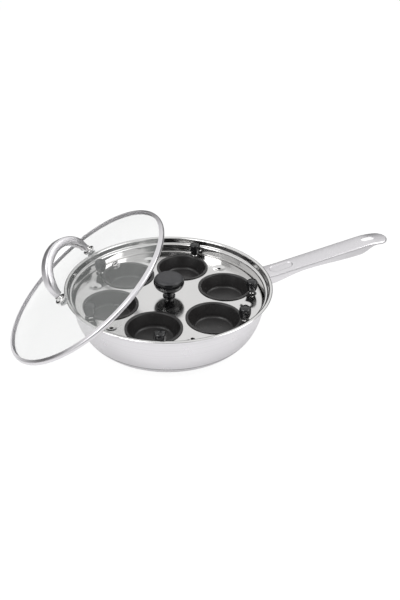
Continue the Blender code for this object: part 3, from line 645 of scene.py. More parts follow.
def on_dome(x, y):
    """Axes on the outer face of the glass, Z square to it."""
    radius, height, _ = dome_ball()
    point = Vector((x, y, height + math.sqrt(radius ** 2 - x * x - y * y)))
    normal = (point - Vector((0, 0, height))).normalized()
    return Matrix.Translation(point) @ normal.to_track_quat("Z", "X").to_matrix().to_4x4()


def post_place(index):
    """Axes of a post on the leaning lid."""
    lid = settings().lid
    half = (-1 if index == 1 else 1) * lid.post_spacing / 2
    return lid_place() @ on_dome(half * math.cos(lid.post_turn), half * math.sin(lid.post_turn))


def cup_place(index):
    """Axes of a cup, its middle on the tray's plate and X towards its grip, and how far the grip is."""
    points = [vert.co for vert in frame["nodes"][f"cup_{index}"].data.vertices]
    low = min(point.z for point in points)
    centre = middle([point for point in points if point.z < low + 0.05 * MM])
    low_corner, high_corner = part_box(f"cup_{index}_knob")
    towards = (low_corner + high_corner) / 2 - centre
    turn = Matrix.Rotation(math.atan2(towards.y, towards.x), 4, "Z")
    return Matrix.Translation((centre.x, centre.y, settings().tray.top)) @ turn, towards.xy.length


def grip_place(index, node):
    """Axes at the foot of a piece on a cup's ear."""
    place, reach = cup_place(index)
    return place @ Matrix.Translation((reach, 0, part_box(node)[0].z - settings().tray.top))


# Pan and base

class EGGPAN_OT_pan(Operator):
    """Draws the pan with its lip, recess, ledge and bowl-shaped wall"""

    bl_idname = "eggpan.pan"
    bl_label = "Pan"

    def execute(self, context):
        pan = settings().pan
        recess = pan.rim_radius - pan.lip_width + pan.sheet
        wall = recess - pan.ledge_width
        under_lip = pan.height - pan.sheet
        under_ledge = pan.height - pan.recess_depth - pan.sheet
        draft = 0.5 * MM
        lip_bend = 1.7 * MM
        ledge_bend = 2.4 * MM
        wall_bend = 1.5 * MM
        floor_bend = 1.5 * MM
        roll = pan.lip_roll
        wall_top = under_ledge - wall_bend
        floor = pan.base_height + SEAT
        turn = 28.0
        reach = (roll + pan.sheet) * math.cos(math.radians(turn))
        line = arc((pan.rim_radius - reach, under_lip - roll), roll, turn, 90, 6)
        line += arc((recess + draft + lip_bend, under_lip - lip_bend), lip_bend, 90, 176, 8)
        line += arc((recess - draft - ledge_bend, under_ledge + ledge_bend), ledge_bend, -4, -90, 5)
        line += arc((wall + wall_bend, wall_top), wall_bend, 90, 180, 8)
        bowl = (pan.base_radius, wall_top)
        swell = (wall - pan.base_radius, wall_top - floor)
        pressed = (swell[0] - pan.seam_depth, swell[1] - pan.seam_depth)
        seam = math.degrees(math.asin((pan.seam_height - wall_top) / swell[1]))
        line += arc(bowl, swell, 0, seam + 1.0, 16)[1:]
        line += arc(bowl, pressed, seam + 0.5, seam - 0.5, 2)
        line += arc(bowl, swell, seam - 1.0, -90, 13)
        line += [(pan.base_radius - floor_bend, floor), (pan.base_radius / 2, floor), (0.0, floor)]
        piece = shell("pan_shell", line, ["pan_satin", "pan_polished"], pan.sheet, inside=1)
        soften(piece, 0.25 * MM)
        complete(piece, "pan_body", FINE_CREASE)
        return {"FINISHED"}


class EGGPAN_OT_base(Operator):
    """Closes the capsule base with its steel cap and finishes the heat disc inside"""

    bl_idname = "eggpan.base"
    bl_label = "Base"

    def execute(self, context):
        pan = settings().pan
        edge = pan.base_edge
        groove = 0.35 * MM
        cap = 0.5 * MM
        border = 8 * MM
        top = pan.base_height
        line = [(pan.base_radius - groove, top), (pan.base_radius - groove, top - groove)]
        line += arc((pan.base_radius - groove, top - 2 * groove), groove, 90, 0, 3)
        line += arc((pan.base_radius - edge, edge), edge, 0, -90, 6)
        line += [(pan.base_radius - border, 0.0), (pan.base_radius / 2, 0.0), (0.0, 0.0)]
        complete(shell("base_disc", line, ["pan_satin"], cap), "base_cap", FINE_CREASE)
        keep_node("base_core", "heat_disc")
        return {"FINISHED"}


# Handle

ROOT_PITCH = math.radians(6.0)
PALM_PITCH = math.radians(10.6)
BEND_LENGTH = 35 * MM
LEVEL_START = 42 * MM
LEVEL_END = 20 * MM
SKIRT_ROOT = 13 * MM
SKIRT_WAIST = 6.7 * MM
SKIRT_BELLY = 11.8 * MM
SKIRT_TIP = 3 * MM
WAIST_AT = 60 * MM
BELLY_AT = 50 * MM
SKIRT_END_AT = 20 * MM


def handle_pitch(along):
    """Slope of the handle at a length from its root."""
    root = ROOT_PITCH + (PALM_PITCH - ROOT_PITCH) * smooth(along / BEND_LENGTH)
    start = settings().handle.length - LEVEL_START
    return root * (1 - smooth((along - start) / (LEVEL_START - LEVEL_END)))


def handle_spine():
    """Places and pitches along the handle's top face, a millimetre apart."""
    pan, handle = settings().pan, settings().handle
    x, z = pan.rim_radius - pan.lip_width, pan.height - handle.drop
    spine = []
    for step in range(round(handle.length / MM) + 3):
        pitch = handle_pitch(step * MM)
        spine.append((x, z, pitch))
        x += math.cos(pitch) * MM
        z += math.sin(pitch) * MM
    return spine


def skirt_depth(along):
    """Depth of the turned-down edge: deep at the root and in the palm, slim at the waist."""
    tip = settings().handle.length
    stations = ((0.0, SKIRT_ROOT), (WAIST_AT, SKIRT_WAIST), (tip - BELLY_AT, SKIRT_BELLY),
                (tip - SKIRT_END_AT, SKIRT_TIP))
    for (start, first), (end, last) in zip(stations, stations[1:]):
        if along < end:
            return first + (last - first) * smooth((along - start) / (end - start))
    return SKIRT_TIP


def handle_blank():
    """The handle's flat top face in plan, with a round tip."""
    handle = settings().handle
    inner = handle.half_width - handle.edge
    straight = handle.length - handle.half_width
    shape = bmesh.new()
    bmesh.ops.create_grid(shape, x_segments=round(2 * straight / MM), y_segments=48, size=0.5)
    bmesh.ops.scale(shape, vec=(straight, 2 * inner, 1.0), verts=shape.verts)
    bmesh.ops.translate(shape, vec=(straight / 2, 0.0, 0.0), verts=shape.verts)
    rib = [edge for edge in shape.edges
           if all(abs(vert.co.x - straight) < 1e-6 and vert.co.y > -1e-6 for vert in edge.verts)]
    ends = {vert for edge in rib for vert in edge.verts}
    bmesh.ops.spin(shape, geom=rib + list(ends), cent=(straight, 0, 0), axis=(0, 0, -1), angle=math.pi,
                   steps=40, use_merge=False)
    bmesh.ops.remove_doubles(shape, verts=shape.verts, dist=1e-6)
    bmesh.ops.dissolve_degenerate(shape, dist=1e-7, edges=shape.edges)
    face_towards(shape, UP)
    return shape, inner, straight


def turn_down_edge(shape, inner, straight):
    """Rolls the blank's sides and tip over a round shoulder into a skirt."""
    radius = settings().handle.edge

    def is_side(edge):
        point = (edge.verts[0].co + edge.verts[1].co) / 2
        beyond = max(0.0, point.x - straight)
        return point.x > 0.01 * MM and math.hypot(beyond, point.y) > inner - 0.2 * MM

    edges = [edge for edge in shape.edges if edge.is_boundary and is_side(edge)]
    last_out = last_down = 0.0
    for turn in (math.radians(15 * step) for step in range(1, 7)):
        out, down = radius * math.sin(turn), radius * (1 - math.cos(turn))
        edges, fresh = extrude_edges(shape, edges)
        for vert in fresh:
            core = Vector((min(vert.co.x, straight), 0.0, vert.co.z))
            vert.co += (vert.co - core).normalized() * (out - last_out)
            vert.co.z -= down - last_down
        last_out, last_down = out, down
    for share in (0.15, 0.5, 0.85, 1.0):
        edges, fresh = extrude_edges(shape, edges)
        for vert in fresh:
            vert.co.z = -radius - (skirt_depth(vert.co.x) - radius) * share


def bend_to_spine(shape):
    """Presses the thumb rest, then lays the flat blank along the handle's spine."""
    pan, handle = settings().pan, settings().handle
    spine = handle_spine()
    wall = pan.rim_radius - pan.lip_width + pan.sheet + SEAT
    half_straight = (handle.thumb_length - handle.thumb_width) / 2
    soft_edge = 1.3 * MM
    for vert in shape.verts:
        x, y, z = vert.co
        beyond = max(0.0, abs(x - handle.thumb_at) - half_straight)
        depth = handle.thumb_width / 2 - math.hypot(beyond, y)
        z -= handle.thumb_depth * smooth((depth + soft_edge / 2) / soft_edge)
        z -= handle.crown * (y / handle.half_width) ** 2
        start = (math.sqrt(wall ** 2 - y * y) - spine[0][0]) / math.cos(ROOT_PITCH)
        along = start + x * (1 - start / handle.length)
        step = min(len(spine) - 2, int(along / MM))
        share = along / MM - step
        place_x, place_z, pitch = (first + (second - first) * share
                                   for first, second in zip(spine[step], spine[step + 1]))
        vert.co = (place_x - z * math.sin(pitch), y, place_z + z * math.cos(pitch))
        if math.hypot(vert.co.x, vert.co.y) < wall:
            vert.co.x = math.sqrt(wall ** 2 - vert.co.y ** 2)


def slot_punch():
    """The punch that cuts the hanging slot, square to the handle."""
    handle = settings().handle
    x, z, pitch = handle_spine()[round((handle.length - handle.slot_at) / MM)]
    radius = handle.slot_width / 2
    half = handle.slot_length / 2 - radius
    reach = 20 * MM
    shape = bmesh.new()
    outline = arc((half, 0.0), radius, -90, 90, 24) + arc((-half, 0.0), radius, 90, 270, 24)
    shape.faces.new([shape.verts.new((across, aside, -reach)) for across, aside in outline])
    raise_faces(shape, shape.faces[:], 2 * reach)
    return add_piece("punch", shape, [], Matrix.Translation((x, 0, z)) @ Matrix.Rotation(-pitch, 4, "Y"))


class EGGPAN_OT_handle(Operator):
    """Stamps the long handle with its turned-down skirt, thumb rest and hanging slot"""

    bl_idname = "eggpan.handle"
    bl_label = "Handle"

    def execute(self, context):
        shape, inner, straight = handle_blank()
        turn_down_edge(shape, inner, straight)
        bend_to_spine(shape)
        piece = add_piece("handle_pressing", shape, ["handle_satin"])
        add_wall(piece, settings().handle.sheet)
        punch = slot_punch()
        cut_with(piece, punch)
        soften(piece, 0.35 * MM, angle=55.0)
        complete(piece, "handle")
        bpy.data.objects.remove(punch)
        keep_node("handle_bracket", "handle_satin")
        return {"FINISHED"}


# Tray

def add_loop(shape, centre, radius, sides):
    """A ring of edges in the tray's plane."""
    ring = bmesh.ops.create_circle(shape, cap_ends=False, segments=sides, radius=radius,
                                   matrix=Matrix.Translation((*centre, 0.0)))
    return list({edge for vert in ring["verts"] for edge in vert.link_edges})


def grow_loop(shape, edges, centre, line):
    """Extrudes a ring of edges about its middle through the radii and heights of a line."""
    for radius, height in line:
        edges, fresh = extrude_edges(shape, edges)
        for vert in fresh:
            away = (vert.co.xy - Vector(centre)).normalized() * radius
            vert.co = (centre[0] + away.x, centre[1] + away.y, height)


class EGGPAN_OT_tray(Operator):
    """Makes the tray plate with cup holes, dished vents and a turned-down skirt"""

    bl_idname = "eggpan.tray"
    bl_label = "Tray"

    def execute(self, context):
        tray, cups = settings().tray, settings().cups
        flat = tray.radius - tray.edge
        border = 0.7 * MM
        bore = 2.5 * MM
        hole = cups.radius - cups.flange + tray.hole_play
        dish = tray.dimple_radius + 2 * border
        skirt = [(flat, 0.0)] + arc((flat, -tray.edge), tray.edge, 90, 0, 6)[1:]
        skirt.append((tray.radius, -tray.skirt))
        lip = [(hole + border, 0.0)] + arc((hole + border, -border), border, 90, 180, 4)[1:]
        dimple = [(dish, 0.0)]
        for share in (step / 8 for step in range(1, 9)):
            dimple.append((dish + (tray.vent_radius - dish) * share, -tray.dimple_depth * smooth(share)))
        dimple.append((tray.vent_radius - 0.1 * MM, -tray.dimple_depth - 0.3 * MM))
        shape = bmesh.new()
        middle_point = (0.0, 0.0)
        loops = [(middle_point, add_loop(shape, middle_point, flat - border, settings().sides), skirt)]
        for index in CUPS:
            centre = tuple(cup_place(index)[0].translation.xy)
            loops.append((centre, add_loop(shape, centre, hole + 2 * border, 96), lip))
            turn = 2 * math.pi * (index - 0.5) / len(CUPS)
            vent = (tray.vent_circle * math.cos(turn), tray.vent_circle * math.sin(turn))
            loops.append((vent, add_loop(shape, vent, tray.dimple_radius + 3 * border, 64), dimple))
        loops.append((middle_point, add_loop(shape, middle_point, 2 * border + bore, 32), [(bore, 0.0)]))
        bmesh.ops.triangle_fill(shape, use_beauty=True, use_dissolve=False, edges=shape.edges, normal=UP)
        for centre, edges, line in loops:
            grow_loop(shape, edges, centre, line)
        bmesh.ops.recalc_face_normals(shape, faces=shape.faces)
        face_towards(shape, UP)
        piece = add_piece("tray_plate", shape, ["tray_polished"], Matrix.Translation((0, 0, tray.top)))
        add_wall(piece, tray.sheet)
        complete(piece, "tray")
        keep_node("tray_knob_screw", "small_polished")
        keep_node("tray_knob_washer", "small_polished")
        return {"FINISHED"}


class EGGPAN_OT_tray_knob(Operator):
    """Moulds the mushroom knob in the middle of the tray"""

    bl_idname = "eggpan.tray_knob"
    bl_label = "Tray knob"

    def execute(self, context):
        tray = settings().tray
        top_radius = 14.5 * MM
        shoulder = 8 * MM
        widest = tray.knob_height - shoulder
        neck_height = 9.5 * MM
        foot = 8.6 * MM
        flare_at = 2.6 * MM + SEAT
        flare = 1.8 * MM
        side_height = 0.6 * MM + SEAT
        chamfer = 0.3 * MM
        gloss_edge = tray.knob_radius - 1.4 * MM
        line = [(0.0, tray.knob_height)]
        line += arc((top_radius, widest), (tray.knob_radius - top_radius, shoulder), 90, 0, 16)
        line += arc((tray.knob_neck, widest), (tray.knob_radius - tray.knob_neck, widest - neck_height),
                    0, -90, 18)[1:]
        line += arc((foot, flare_at), (foot - tray.knob_neck, flare), 180, 250, 5)
        line += [(foot, side_height), (foot - chamfer, SEAT), (0.0, SEAT)]
        shape = spun(line, 2 * settings().small_sides)
        shape.normal_update()
        for face in shape.faces:
            point = face.calc_center_median()
            face.material_index = int(face.normal.z > 0.1 and point.xy.length < gloss_edge
                                      and point.z > widest)
        piece = add_piece("tray_grip", shape, ["bakelite_gloss", "bakelite_matt"],
                          Matrix.Translation((0, 0, tray.top)))
        complete(piece, "tray_knob")
        return {"FINISHED"}


# Cups

class EGGPAN_OT_cups(Operator):
    """Presses the six coated cups with their flanges and ears"""

    bl_idname = "eggpan.cups"
    bl_label = "Cups"

    def execute(self, context):
        cups = settings().cups
        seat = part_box("cup_1")[0].z + cups.depth - settings().tray.top
        low = seat - cups.depth
        bowl = cups.radius - cups.flange
        bottom = bowl - cups.taper
        corner = (4 * MM, 6 * MM)
        tuck = 3 * MM
        bead = 0.6 * MM
        line = [(cups.radius, seat)]
        line += arc((bowl + bead, seat - bead), bead, 90, 180, 4)
        line += arc((bottom - tuck, low + corner[1]), corner, 0, -90, 8)
        line += [(bottom / 2, low), (0.0, low)]
        for index in CUPS:
            place, reach = cup_place(index)
            piece = shell(f"cup_{index}_bowl", line, ["cup_coating"], cups.sheet, place=place, sides=96)
            soften(piece, 0.35 * MM, 3)
            settle(piece)
            ear = self.ear(seat, reach)
            bmesh.ops.transform(ear, matrix=place, verts=ear.verts)
            ear.from_mesh(piece.data)
            ear.to_mesh(piece.data)
            ear.free()
            complete(piece, f"cup_{index}")
        return {"FINISHED"}

    def ear(self, seat, reach):
        """The flat tongue that widens the flange out to the grip."""
        cups = settings().cups
        thickness = 1.1 * MM
        low = seat + (cups.sheet - thickness) / 2
        root = cups.radius - 1.2 * MM
        half_turn = 17.0
        shape = bmesh.new()
        outline = arc((0.0, 0.0), root, -half_turn, half_turn, 8)
        outline += [(reach + x, y) for x, y in arc((0.0, 0.0), cups.ear_radius, 105, -105, 24)][::-1]
        bmesh.ops.convex_hull(shape, input=[shape.verts.new((x, y, low)) for x, y in outline])
        bmesh.ops.dissolve_limit(shape, angle_limit=math.radians(1.0), verts=shape.verts, edges=shape.edges)
        raise_faces(shape, shape.faces[:1], thickness)
        rims = [edge for edge in shape.edges
                if len(edge.link_faces) == 2 and edge.calc_face_angle() > math.radians(60)]
        bmesh.ops.bevel(shape, geom=rims, offset=0.3 * MM, offset_type="OFFSET", segments=2, profile=0.5,
                        affect="EDGES", material=-1, clamp_overlap=True)
        return shape


class EGGPAN_OT_collars(Operator):
    """Turns the bright collar and stud on each cup's ear"""

    bl_idname = "eggpan.collars"
    bl_label = "Collars"

    def execute(self, context):
        radius = settings().cups.collar_radius
        height = 2.3 * MM
        stud = 1.9 * MM
        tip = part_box("cup_1_stud")[1].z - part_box("cup_1_stud")[0].z
        edge = 0.5 * MM
        waist = 0.4 * MM
        line = [(0.0, tip), (stud - edge / 2, tip), (stud, tip - edge / 2), (stud, height)]
        line += arc((radius - edge, height - edge), edge, 90, 0, 3)
        line += [(radius - waist, height / 2)]
        line += arc((radius - edge, edge), edge, 0, -90, 3)
        line += [(0.0, 0.0)]
        for index in CUPS:
            node = f"cup_{index}_stud"
            turned(f"cup_{index}_collar", node, line, "small_polished", grip_place(index, node))
        return {"FINISHED"}


class EGGPAN_OT_grips(Operator):
    """Moulds the screwed-on grip of each cup"""

    bl_idname = "eggpan.grips"
    bl_label = "Cup grips"

    def execute(self, context):
        cups = settings().cups
        low_corner, high_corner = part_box("cup_1_knob")
        height = high_corner.z - low_corner.z
        widest = 0.55 * height
        chamfer = 0.4 * MM
        edge = 3.2 * MM
        dish = 0.35 * MM
        bore = 2.2 * MM
        depth = 6 * MM
        top_radius = cups.grip_radius - 0.25 * MM
        ring, flat = top_radius - edge - 0.9 * MM, top_radius - edge - 1.6 * MM
        line = [(0.0, depth), (bore, depth), (bore, 0.0), (cups.grip_foot - chamfer, 0.0),
                (cups.grip_foot, chamfer)]
        for share in (step / 8 for step in range(1, 9)):
            swell = cups.grip_foot + (cups.grip_radius - cups.grip_foot) * math.sin(share * math.pi / 2)
            line.append((swell, chamfer + (widest - chamfer) * share))
        line += arc((top_radius - edge, height - edge - dish), edge, 0, 78, 7)
        line += [(ring, height - dish), (flat, height), (top_radius / 3, height), (0.0, height)]
        for index in CUPS:
            node = f"cup_{index}_knob"
            turned(f"cup_{index}_grip", node, line, "bakelite_gloss", grip_place(index, node))
        return {"FINISHED"}


# Lid

class EGGPAN_OT_lid_glass(Operator):
    """Presses the domed glass and drills it for the posts and the vent"""

    bl_idname = "eggpan.lid_glass"
    bl_label = "Lid glass"

    def execute(self, context):
        lid = settings().lid
        radius, height, edge = dome_ball()
        half_angle = math.degrees(math.asin(edge / radius))
        line = arc((0.0, height), radius, 90, 90 - half_angle, 26)
        piece = shell("lid_dome", line, ["lid_glass_clear"], lid.glass, UP, lid_place())
        post_bore = 3 * MM
        vent_bore = 2.9 * MM
        holes = [(post_place(index), post_bore) for index in POSTS]
        holes.append((lid_place() @ on_dome(*lid.vent_place), vent_bore))
        drills = []
        for place, width in holes:
            cutter = bmesh.new()
            bmesh.ops.create_cone(cutter, cap_ends=True, segments=32, radius1=width, radius2=width,
                                  depth=8 * lid.glass)
            drills.append(add_piece("drill", cutter, [], place))
            cut_with(piece, drills[-1])
        complete(piece, "lid_glass")
        for drill in drills:
            bpy.data.objects.remove(drill)
        return {"FINISHED"}


class EGGPAN_OT_lid_band(Operator):
    """Folds the steel band round the edge of the glass"""

    bl_idname = "eggpan.lid_band"
    bl_label = "Lid band"

    def execute(self, context):
        lid = settings().lid
        radius, height, edge = dome_ball()
        sheet = lid.band_sheet
        lap = lid.radius - lid.band_lap - sheet
        over_edge = height + math.sqrt(radius ** 2 - edge ** 2) + SEAT
        over_lap = height + math.sqrt(radius ** 2 - lap ** 2) + SEAT
        inside = lid.radius - sheet
        nose = 2.4 * MM
        foot = 1.6 * MM
        hem = lap + 0.2 * MM
        line = arc((lid.radius - nose, over_edge + sheet - nose), nose, 80, 0, 7)
        line += arc((lid.radius - foot, foot), foot, 0, -90, 6)
        line += [(hem, 0.0), (lap, sheet / 2), (hem, sheet), (inside, sheet), (inside, over_edge),
                 (hem, over_lap), (lap, over_lap + sheet / 2), (lap + 0.3 * MM, over_lap + sheet)]
        turned("lid_rim", "lid_band", line, "lid_satin", lid_place(), True, settings().sides)
        return {"FINISHED"}


class EGGPAN_OT_bow(Operator):
    """Bends the bow handle, a strap with rounded corners that thins towards its ends"""

    bl_idname = "eggpan.bow"
    bl_label = "Bow handle"

    def execute(self, context):
        lid = settings().lid
        tip_share = 0.75
        inset = 2.5 * MM
        corner = 3.4 * MM
        end_reach = 4.2 * MM
        seat = 3 * SEAT + lid.seal + lid.post_height
        end = on_dome(lid.post_spacing / 2, 0.0) @ Vector((0, 0, seat))
        half = end.x - inset
        low = end.z + end_reach * (lid.post_spacing / 2) / dome_ball()[0]
        shape = bmesh.new()
        verts = bmesh.ops.create_grid(shape, x_segments=1, y_segments=1, size=0.5)["verts"]
        bmesh.ops.scale(shape, vec=(lid.bow_thickness, lid.bow_width, 1.0), verts=verts)
        bmesh.ops.bevel(shape, geom=verts, offset=corner, offset_type="OFFSET", segments=7, profile=0.5,
                        affect="VERTICES", material=-1, clamp_overlap=True)
        bmesh.ops.translate(shape, vec=(half, 0, 0), verts=shape.verts)
        bmesh.ops.spin(shape, geom=shape.faces[:] + shape.edges[:] + shape.verts[:], cent=(0, 0, 0),
                       axis=(0, 1, 0), angle=-math.pi, steps=72, use_merge=False)
        bmesh.ops.remove_doubles(shape, verts=shape.verts, dist=1e-6)
        for vert in shape.verts:
            turn = math.atan2(vert.co.z, vert.co.x)
            core = Vector((half * math.cos(turn), 0.0, half * math.sin(turn)))
            away = (vert.co - core) * (tip_share + (1 - tip_share) * smooth(2 * math.sin(turn)))
            vert.co = Vector((core.x, 0.0, low + core.z * lid.bow_rise / half)) + away
        bmesh.ops.recalc_face_normals(shape, faces=shape.faces)
        piece = add_piece("lid_bow", shape, ["bow_satin"], bow_place())
        soften(piece, 0.5 * MM, angle=60.0)
        complete(piece, "bow_handle")
        return {"FINISHED"}


class EGGPAN_OT_posts(Operator):
    """Turns the two posts with their seals and screws"""

    bl_idname = "eggpan.posts"
    bl_label = "Posts"

    def execute(self, context):
        lid = settings().lid
        foot, seal = lid.post_foot, lid.seal
        bore = 2.5 * MM
        stem = 2.2 * MM
        socket = 3.4 * MM
        top = 2 * SEAT + seal
        under = -lid.glass - SEAT
        stem_top = top + 3.2 * MM
        flare_top = top + 3.1 * MM
        head_top = under - seal - SEAT
        head_low = head_top - 2.2 * MM
        head_radius = 4.4 * MM
        crowning = 1.5 * MM
        neck = 4.2 * MM
        flare = 1.4 * MM
        bead = 0.9 * MM
        crown = top + lid.post_height
        edge = 0.5 * MM
        post = [(0.0, crown)] + arc((neck - edge, crown - edge), edge, 90, 0, 4)
        post += arc((neck + flare, flare_top), (flare, 1.3 * MM), 180, 270, 6)
        post += arc((foot - bead, top + bead), bead, 90, -90, 8)
        post += [(bore, top), (bore, top + socket), (0.0, top + socket)]
        screw = [(0.0, stem_top), (stem, stem_top), (stem, head_top)]
        screw += arc((head_radius - edge, head_top - edge), edge, 90, 0, 3)
        screw += arc((0.0, head_low + crowning), (head_radius, crowning), 0, -90, 8)
        outer = self.washer(bore, foot - seal, SEAT, SEAT + seal)
        inner = self.washer(bore, 6 * MM, under - seal, under)
        for index in POSTS:
            for name, node, line, closed, look in (
                    ("pillar", "", post, False, "small_polished"),
                    ("bolt", "_screw", screw, False, "small_polished"),
                    ("upper_ring", "_outer_seal", outer, True, "seal_silicone"),
                    ("lower_ring", "_inner_seal", inner, True, "seal_silicone")):
                turned(f"post_{index}_{name}", f"post_{index}{node}", line, look, post_place(index), closed)
        return {"FINISHED"}

    def washer(self, bore, outer, low, high):
        """Outline of a flat ring with rounded edges."""
        edge = 0.35 * MM
        line = arc((outer - edge, high - edge), edge, 90, 0, 3)
        line += arc((outer - edge, low + edge), edge, 0, -90, 3)
        return line + [(bore, low), (bore, high)]


class EGGPAN_OT_eyelet(Operator):
    """Rolls the steam vent's eyelet over both faces of the glass"""

    bl_idname = "eggpan.eyelet"
    bl_label = "Steam eyelet"

    def execute(self, context):
        lid = settings().lid
        flange = 4.8 * MM
        tube = 2.6 * MM
        bore = 1.4 * MM
        sheet = 0.9 * MM
        roll = 0.45 * MM
        under = -lid.glass - SEAT
        line = [(tube, SEAT), (flange - 0.2 * MM, SEAT)]
        line += arc((flange - roll, SEAT + roll), roll, -45, 90, 4)
        line += arc((bore + sheet, SEAT), sheet, 90, 180, 5)
        line += arc((bore + sheet, under), sheet, 180, 270, 5)
        line += arc((flange - roll, under - roll), roll, -90, 45, 4)
        line += [(tube, under)]
        place = lid_place() @ on_dome(*lid.vent_place)
        turned("lid_eyelet", "lid_vent_eyelet", line, "small_polished", place, True)
        return {"FINISHED"}


# Stage

def by_ray(tree, seen, mirrored, lit):
    """One shader for what the camera sees, one for what metal mirrors and one for all other light."""
    path = tree.nodes.new("ShaderNodeLightPath").outputs
    direct = reckon(tree, "MAXIMUM", path["Is Camera Ray"], path["Is Transmission Ray"])
    rest = wired(tree, "ShaderNodeMixShader", "Shader", {"Fac": path["Is Glossy Ray"], 1: lit, 2: mirrored})
    return wired(tree, "ShaderNodeMixShader", "Shader", {"Fac": direct, 1: rest, 2: seen})


def matt(tree, grey):
    """Plain matt paint."""
    return wired(tree, "ShaderNodeBsdfDiffuse", "BSDF", {"Color": (grey, grey, grey, 1.0)})


def glowing(tree, grey, glow):
    """Matt paint that also shines by itself."""
    shine = wired(tree, "ShaderNodeEmission", "Emission", {"Strength": glow})
    return wired(tree, "ShaderNodeAddShader", "Shader", {0: matt(tree, grey), 1: shine})


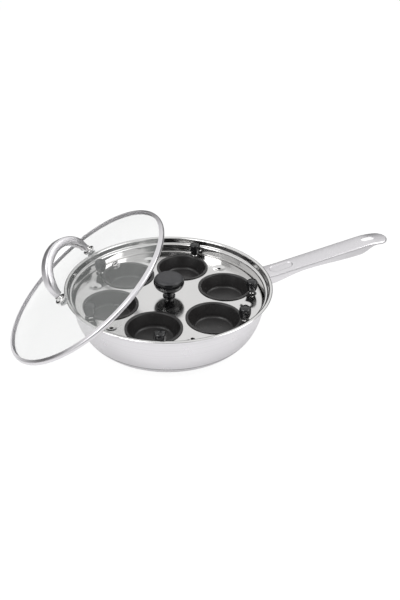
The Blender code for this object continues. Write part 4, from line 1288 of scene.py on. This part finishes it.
class EGGPAN_OT_stage(Operator):
    """Sets the white floor, the soft lights and the camera"""

    bl_idname = "eggpan.stage"
    bl_label = "Stage"

    def execute(self, context):
        stage = settings().stage
        context.scene.view_settings.view_transform = "Standard"
        self.floor(stage)
        self.sky(context.scene, stage)
        self.softbox("key_light", (-0.95, -0.35, 1.15), 0.9, stage.key_power)
        self.softbox("fill_light", (1.0, -0.5, 0.95), 0.8, stage.fill_power)
        self.camera(context.scene, stage)
        return {"FINISHED"}

    def floor(self, stage):
        """White paper that keeps a faint shadow; metal sees its glow dimmer close to the pan, a painted shadow,
        and falling off away from the pan.
        """
        shape = bmesh.new()
        bmesh.ops.create_grid(shape, x_segments=1, y_segments=1, size=stage.floor_size / 2)
        bmesh.ops.translate(shape, vec=(0, 0, -0.1 * MM), verts=shape.verts)
        floor = add_piece("floor", shape, [])
        made = bpy.data.materials.new("floor_white")
        made.use_nodes = True
        tree = made.node_tree
        tree.nodes.remove(tree.nodes["Principled BSDF"])
        away = size_of(tree, placed_coordinates(tree))
        # Painted shadow that only metal sees: the glow is dimmer close to the pan, standing for its contact
        # shadow, and fades out further away.
        shine = reckon(tree, "MULTIPLY", eased(tree, away, 0.1, 0.17, 0.3, 0.5),
                       eased(tree, away, 0.22, 0.6, 1.0, 0.0))
        surface = by_ray(tree, glowing(tree, 0.14, 0.92), glowing(tree, 0.55, shine), matt(tree, 0.8))
        feed(tree, tree.nodes["Material Output"], {"Surface": surface})
        floor.data.materials.append(made)

    def sky(self, scene, stage):
        """Even light for the object, plain white for the camera and a room for metal."""
        world = bpy.data.worlds.new("studio")
        scene.world = world
        world.use_nodes = True
        tree = world.node_tree
        white = (1.0, 1.0, 1.0, 1.0)
        lit = tree.nodes["Background"]
        feed(tree, lit, {"Color": white, "Strength": stage.sky})
        seen = wired(tree, "ShaderNodeBackground", "Background", {"Color": white, "Strength": 1.0})
        room = wired(tree, "ShaderNodeBackground", "Background", {"Strength": self.room_tone(tree, stage)})
        surface = by_ray(tree, seen, room, lit.outputs["Background"])
        feed(tree, tree.nodes["World Output"], {"Surface": surface})

    def room_tone(self, tree, stage):
        """What metal mirrors: white above and at the sides, a dim horizon, a dark gap behind the camera."""
        toward = wired(tree, "ShaderNodeTexCoord", "Generated")
        height = height_of(tree, toward)
        level = reckon_vector(tree, "NORMALIZE", "Vector", level_part(tree, toward))
        camera_side = (math.sin(stage.azimuth), -math.cos(stage.azimuth), 0.0)
        front = reckon_vector(tree, "DOT_PRODUCT", "Value", level, camera_side)
        behind = eased(tree, height, 0.3, 0.46, stage.dusk, 1.22)
        before = eased(tree, height, 0.0, 0.2, 0.7, 1.1)
        gap = eased(tree, height, 0.6, 0.85, stage.dark, 1.1)
        room = blend(tree, eased(tree, front, -0.3, 0.3, 0.0, 1.0), behind, before)
        return blend(tree, eased(tree, front, 0.8, 0.93, 0.0, 1.0), room, gap)

    def softbox(self, name, place, size, power):
        """A square soft light that faces the pan."""
        light = bpy.data.lights.new(name, "AREA")
        light.shape = "SQUARE"
        light.size = size
        light.energy = power
        lamp = bpy.data.objects.new(name, light)
        lamp.location = place
        lamp.rotation_euler = (-Vector(place)).to_track_quat("-Z", "Y").to_euler()
        bpy.context.scene.collection.objects.link(lamp)

    def camera(self, scene, stage):
        """The camera at the photograph's angle."""
        view = bpy.data.cameras.new("photo_view")
        view.lens = stage.lens
        view.sensor_width = 36.0
        view.clip_start = 0.01
        camera = bpy.data.objects.new("photo_view", view)
        tilt = math.pi / 2 - stage.elevation
        camera.matrix_world = (Matrix.Translation(stage.camera_place) @ Matrix.Rotation(stage.azimuth, 4, "Z")
                               @ Matrix.Rotation(tilt, 4, "X") @ Matrix.Rotation(stage.roll, 4, "Z"))
        scene.collection.objects.link(camera)
        scene.camera = camera


# Panel and registration

STEPS = (EGGPAN_OT_stage, EGGPAN_OT_pan, EGGPAN_OT_base, EGGPAN_OT_handle, EGGPAN_OT_tray,
         EGGPAN_OT_tray_knob, EGGPAN_OT_cups, EGGPAN_OT_collars, EGGPAN_OT_grips, EGGPAN_OT_lid_glass,
         EGGPAN_OT_lid_band, EGGPAN_OT_bow, EGGPAN_OT_posts, EGGPAN_OT_eyelet)


class EGGPAN_PT_sidebar(Panel):
    """Lists the steps that make the egg pan"""

    bl_idname = "EGGPAN_PT_sidebar"
    bl_label = "Egg Pan"
    bl_space_type = "VIEW_3D"
    bl_region_type = "UI"
    bl_category = "Egg Pan"

    def draw(self, context):
        column = self.layout.column(align=True)
        for step in STEPS:
            column.operator(step.bl_idname)


CLASSES = (EGGPAN_PG_pan, EGGPAN_PG_handle, EGGPAN_PG_tray, EGGPAN_PG_cups, EGGPAN_PG_lid,
           EGGPAN_PG_finish, EGGPAN_PG_stage, EGGPAN_PG_settings) + STEPS + (EGGPAN_PT_sidebar,)


def register():
    for made in CLASSES:
        bpy.utils.register_class(made)
    bpy.types.Scene.egg_pan = PointerProperty(type=EGGPAN_PG_settings, name="Egg pan",
                                              description="Settings of the egg pan")


def unregister():
    del bpy.types.Scene.egg_pan
    for made in reversed(CLASSES):
        bpy.utils.unregister_class(made)


def main():
    register()
    for step in STEPS:
        group, name = step.bl_idname.split(".")
        getattr(getattr(bpy.ops, group), name)()


if __name__ == "__main__":
    main()
